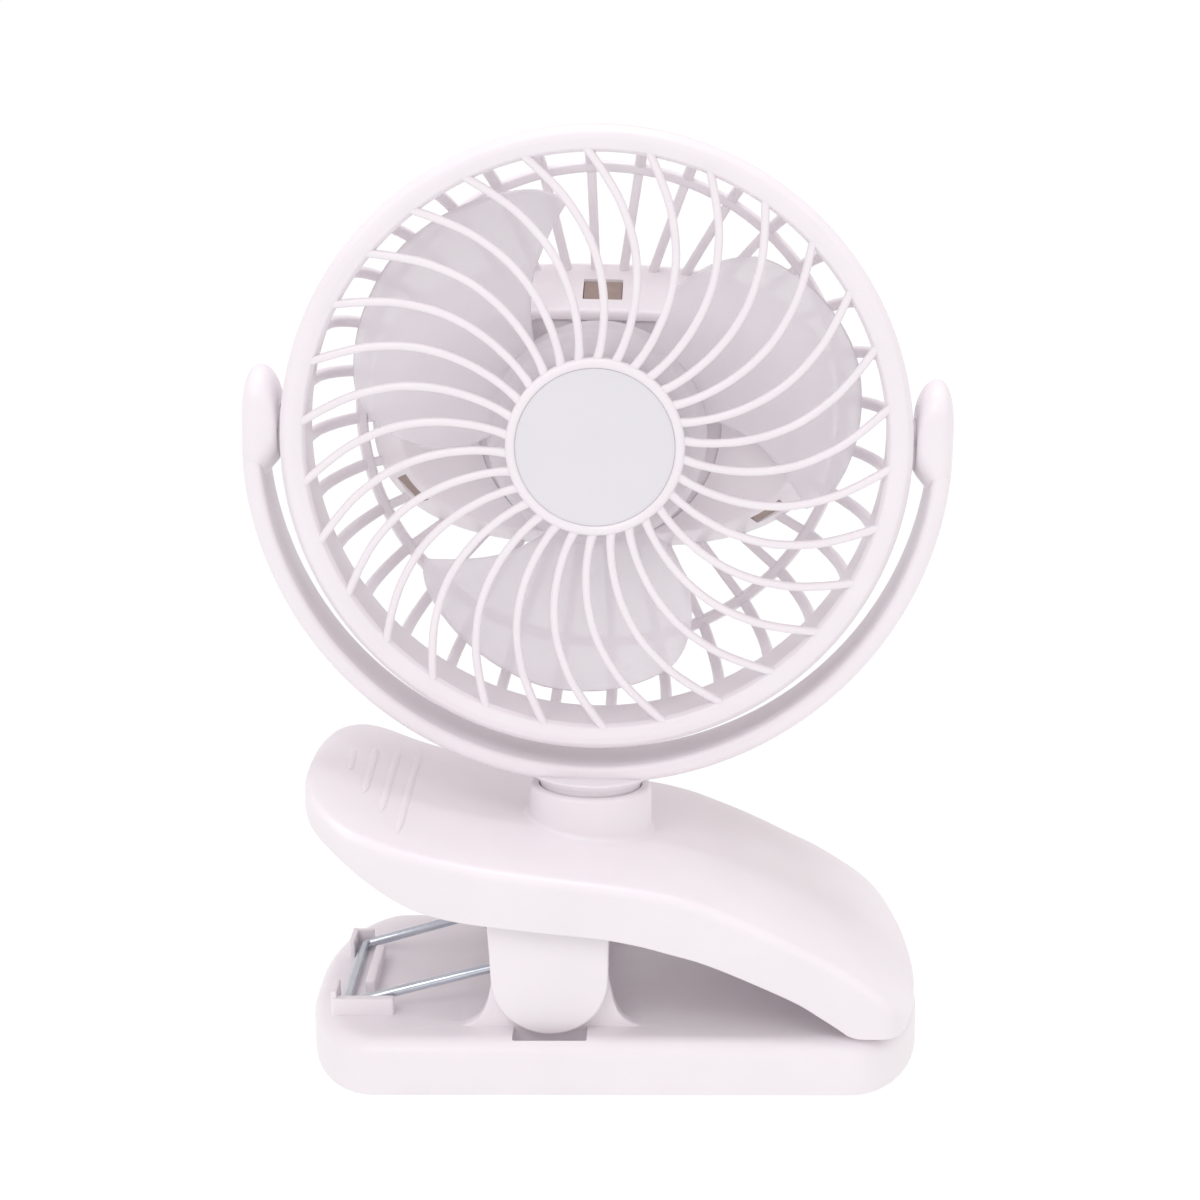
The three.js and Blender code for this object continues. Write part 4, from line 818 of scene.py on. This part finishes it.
for k in range(3):
    centre = rad(17 + 120 * k)

    def at(s, v, off):
        r = 22.3 + (TIP(v) - 22.3) * s
        a = centre + rad(E_CW(s) + (E_CCW(s) - E_CW(s)) * (v + 1) / 2)
        return V((r * cos(a), 3.9 - (5.5 + 3.6 * s) * v + 0.5 * s + off, r * sin(a)))
    S = [1 - (1 - i / NS) ** 1.35 for i in range(NS + 1)]
    W = [-cos(pi * j / NV) for j in range(NV + 1)]
    faces_rows = []
    for side in (-1, 1):
        rows = []
        for s in S:
            row = []
            for v in W:
                dv = (1 - abs(v)) * (12 + 22 * s)
                ds = (1 - s) * 32
                d = min(1.0, dv / 0.8, ds / 0.8)
                off = side * (0.12 + (TH - 0.12) * math.sqrt(max(0.0, 1 - (1 - d) ** 2)))
                row.append(at(s, v, off))
            rows.append(row)
        faces_rows.append(rows)
    n = NV + 1
    verts = [p for rows in faces_rows for r in rows for p in r]
    F, half_n = [], (NS + 1) * n
    for i in range(NS):
        for j in range(NV):
            q = [i * n + j, (i + 1) * n + j, (i + 1) * n + j + 1, i * n + j + 1]
            F.append(q)
            F.append([x + half_n for x in q][::-1])
    edge = [(0, j) for j in range(NV)] + [(i, NV) for i in range(NS)] + [(NS, j) for j in range(NV, 0, -1)] + [(i, 0) for i in range(NS, 0, -1)]
    for e, (i, j) in enumerate(edge):
        p, q = edge[(e + 1) % len(edge)]
        F.append([i * n + j, p * n + q, half_n + p * n + q, half_n + i * n + j])
    im.add(verts, F)
fan = make("fan_blades", im, [blade_mat], LEAN, sharp=48)
place(fan, "rotor", ["impeller"])

# ================================================================ carried-over pieces
looks = {"bottom_plate": plate_mat, "base_pad": pad_mat, "hinge_pin": steel, "motor": can_mat, "battery_cell": sleeve_mat, "circuit_board": board_mat,
         "tact_switch": black_mat, "indicator_lens": lens_mat,
         "motor_shaft": screw_steel, "usb_port": screw_steel, "swivel_washer": screw_steel, "swivel_screw": screw_steel,
         "battery_contact_negative": screw_steel, "battery_contact_positive": screw_steel, "motor_screw_1": screw_steel, "motor_screw_2": screw_steel,
         "plate_screw_1": screw_steel, "plate_screw_2": screw_steel, "plate_screw_3": screw_steel, "plate_screw_4": screw_steel}
for node, m in looks.items():
    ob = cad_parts[node]
    for s in ob.material_slots:
        s.material = m
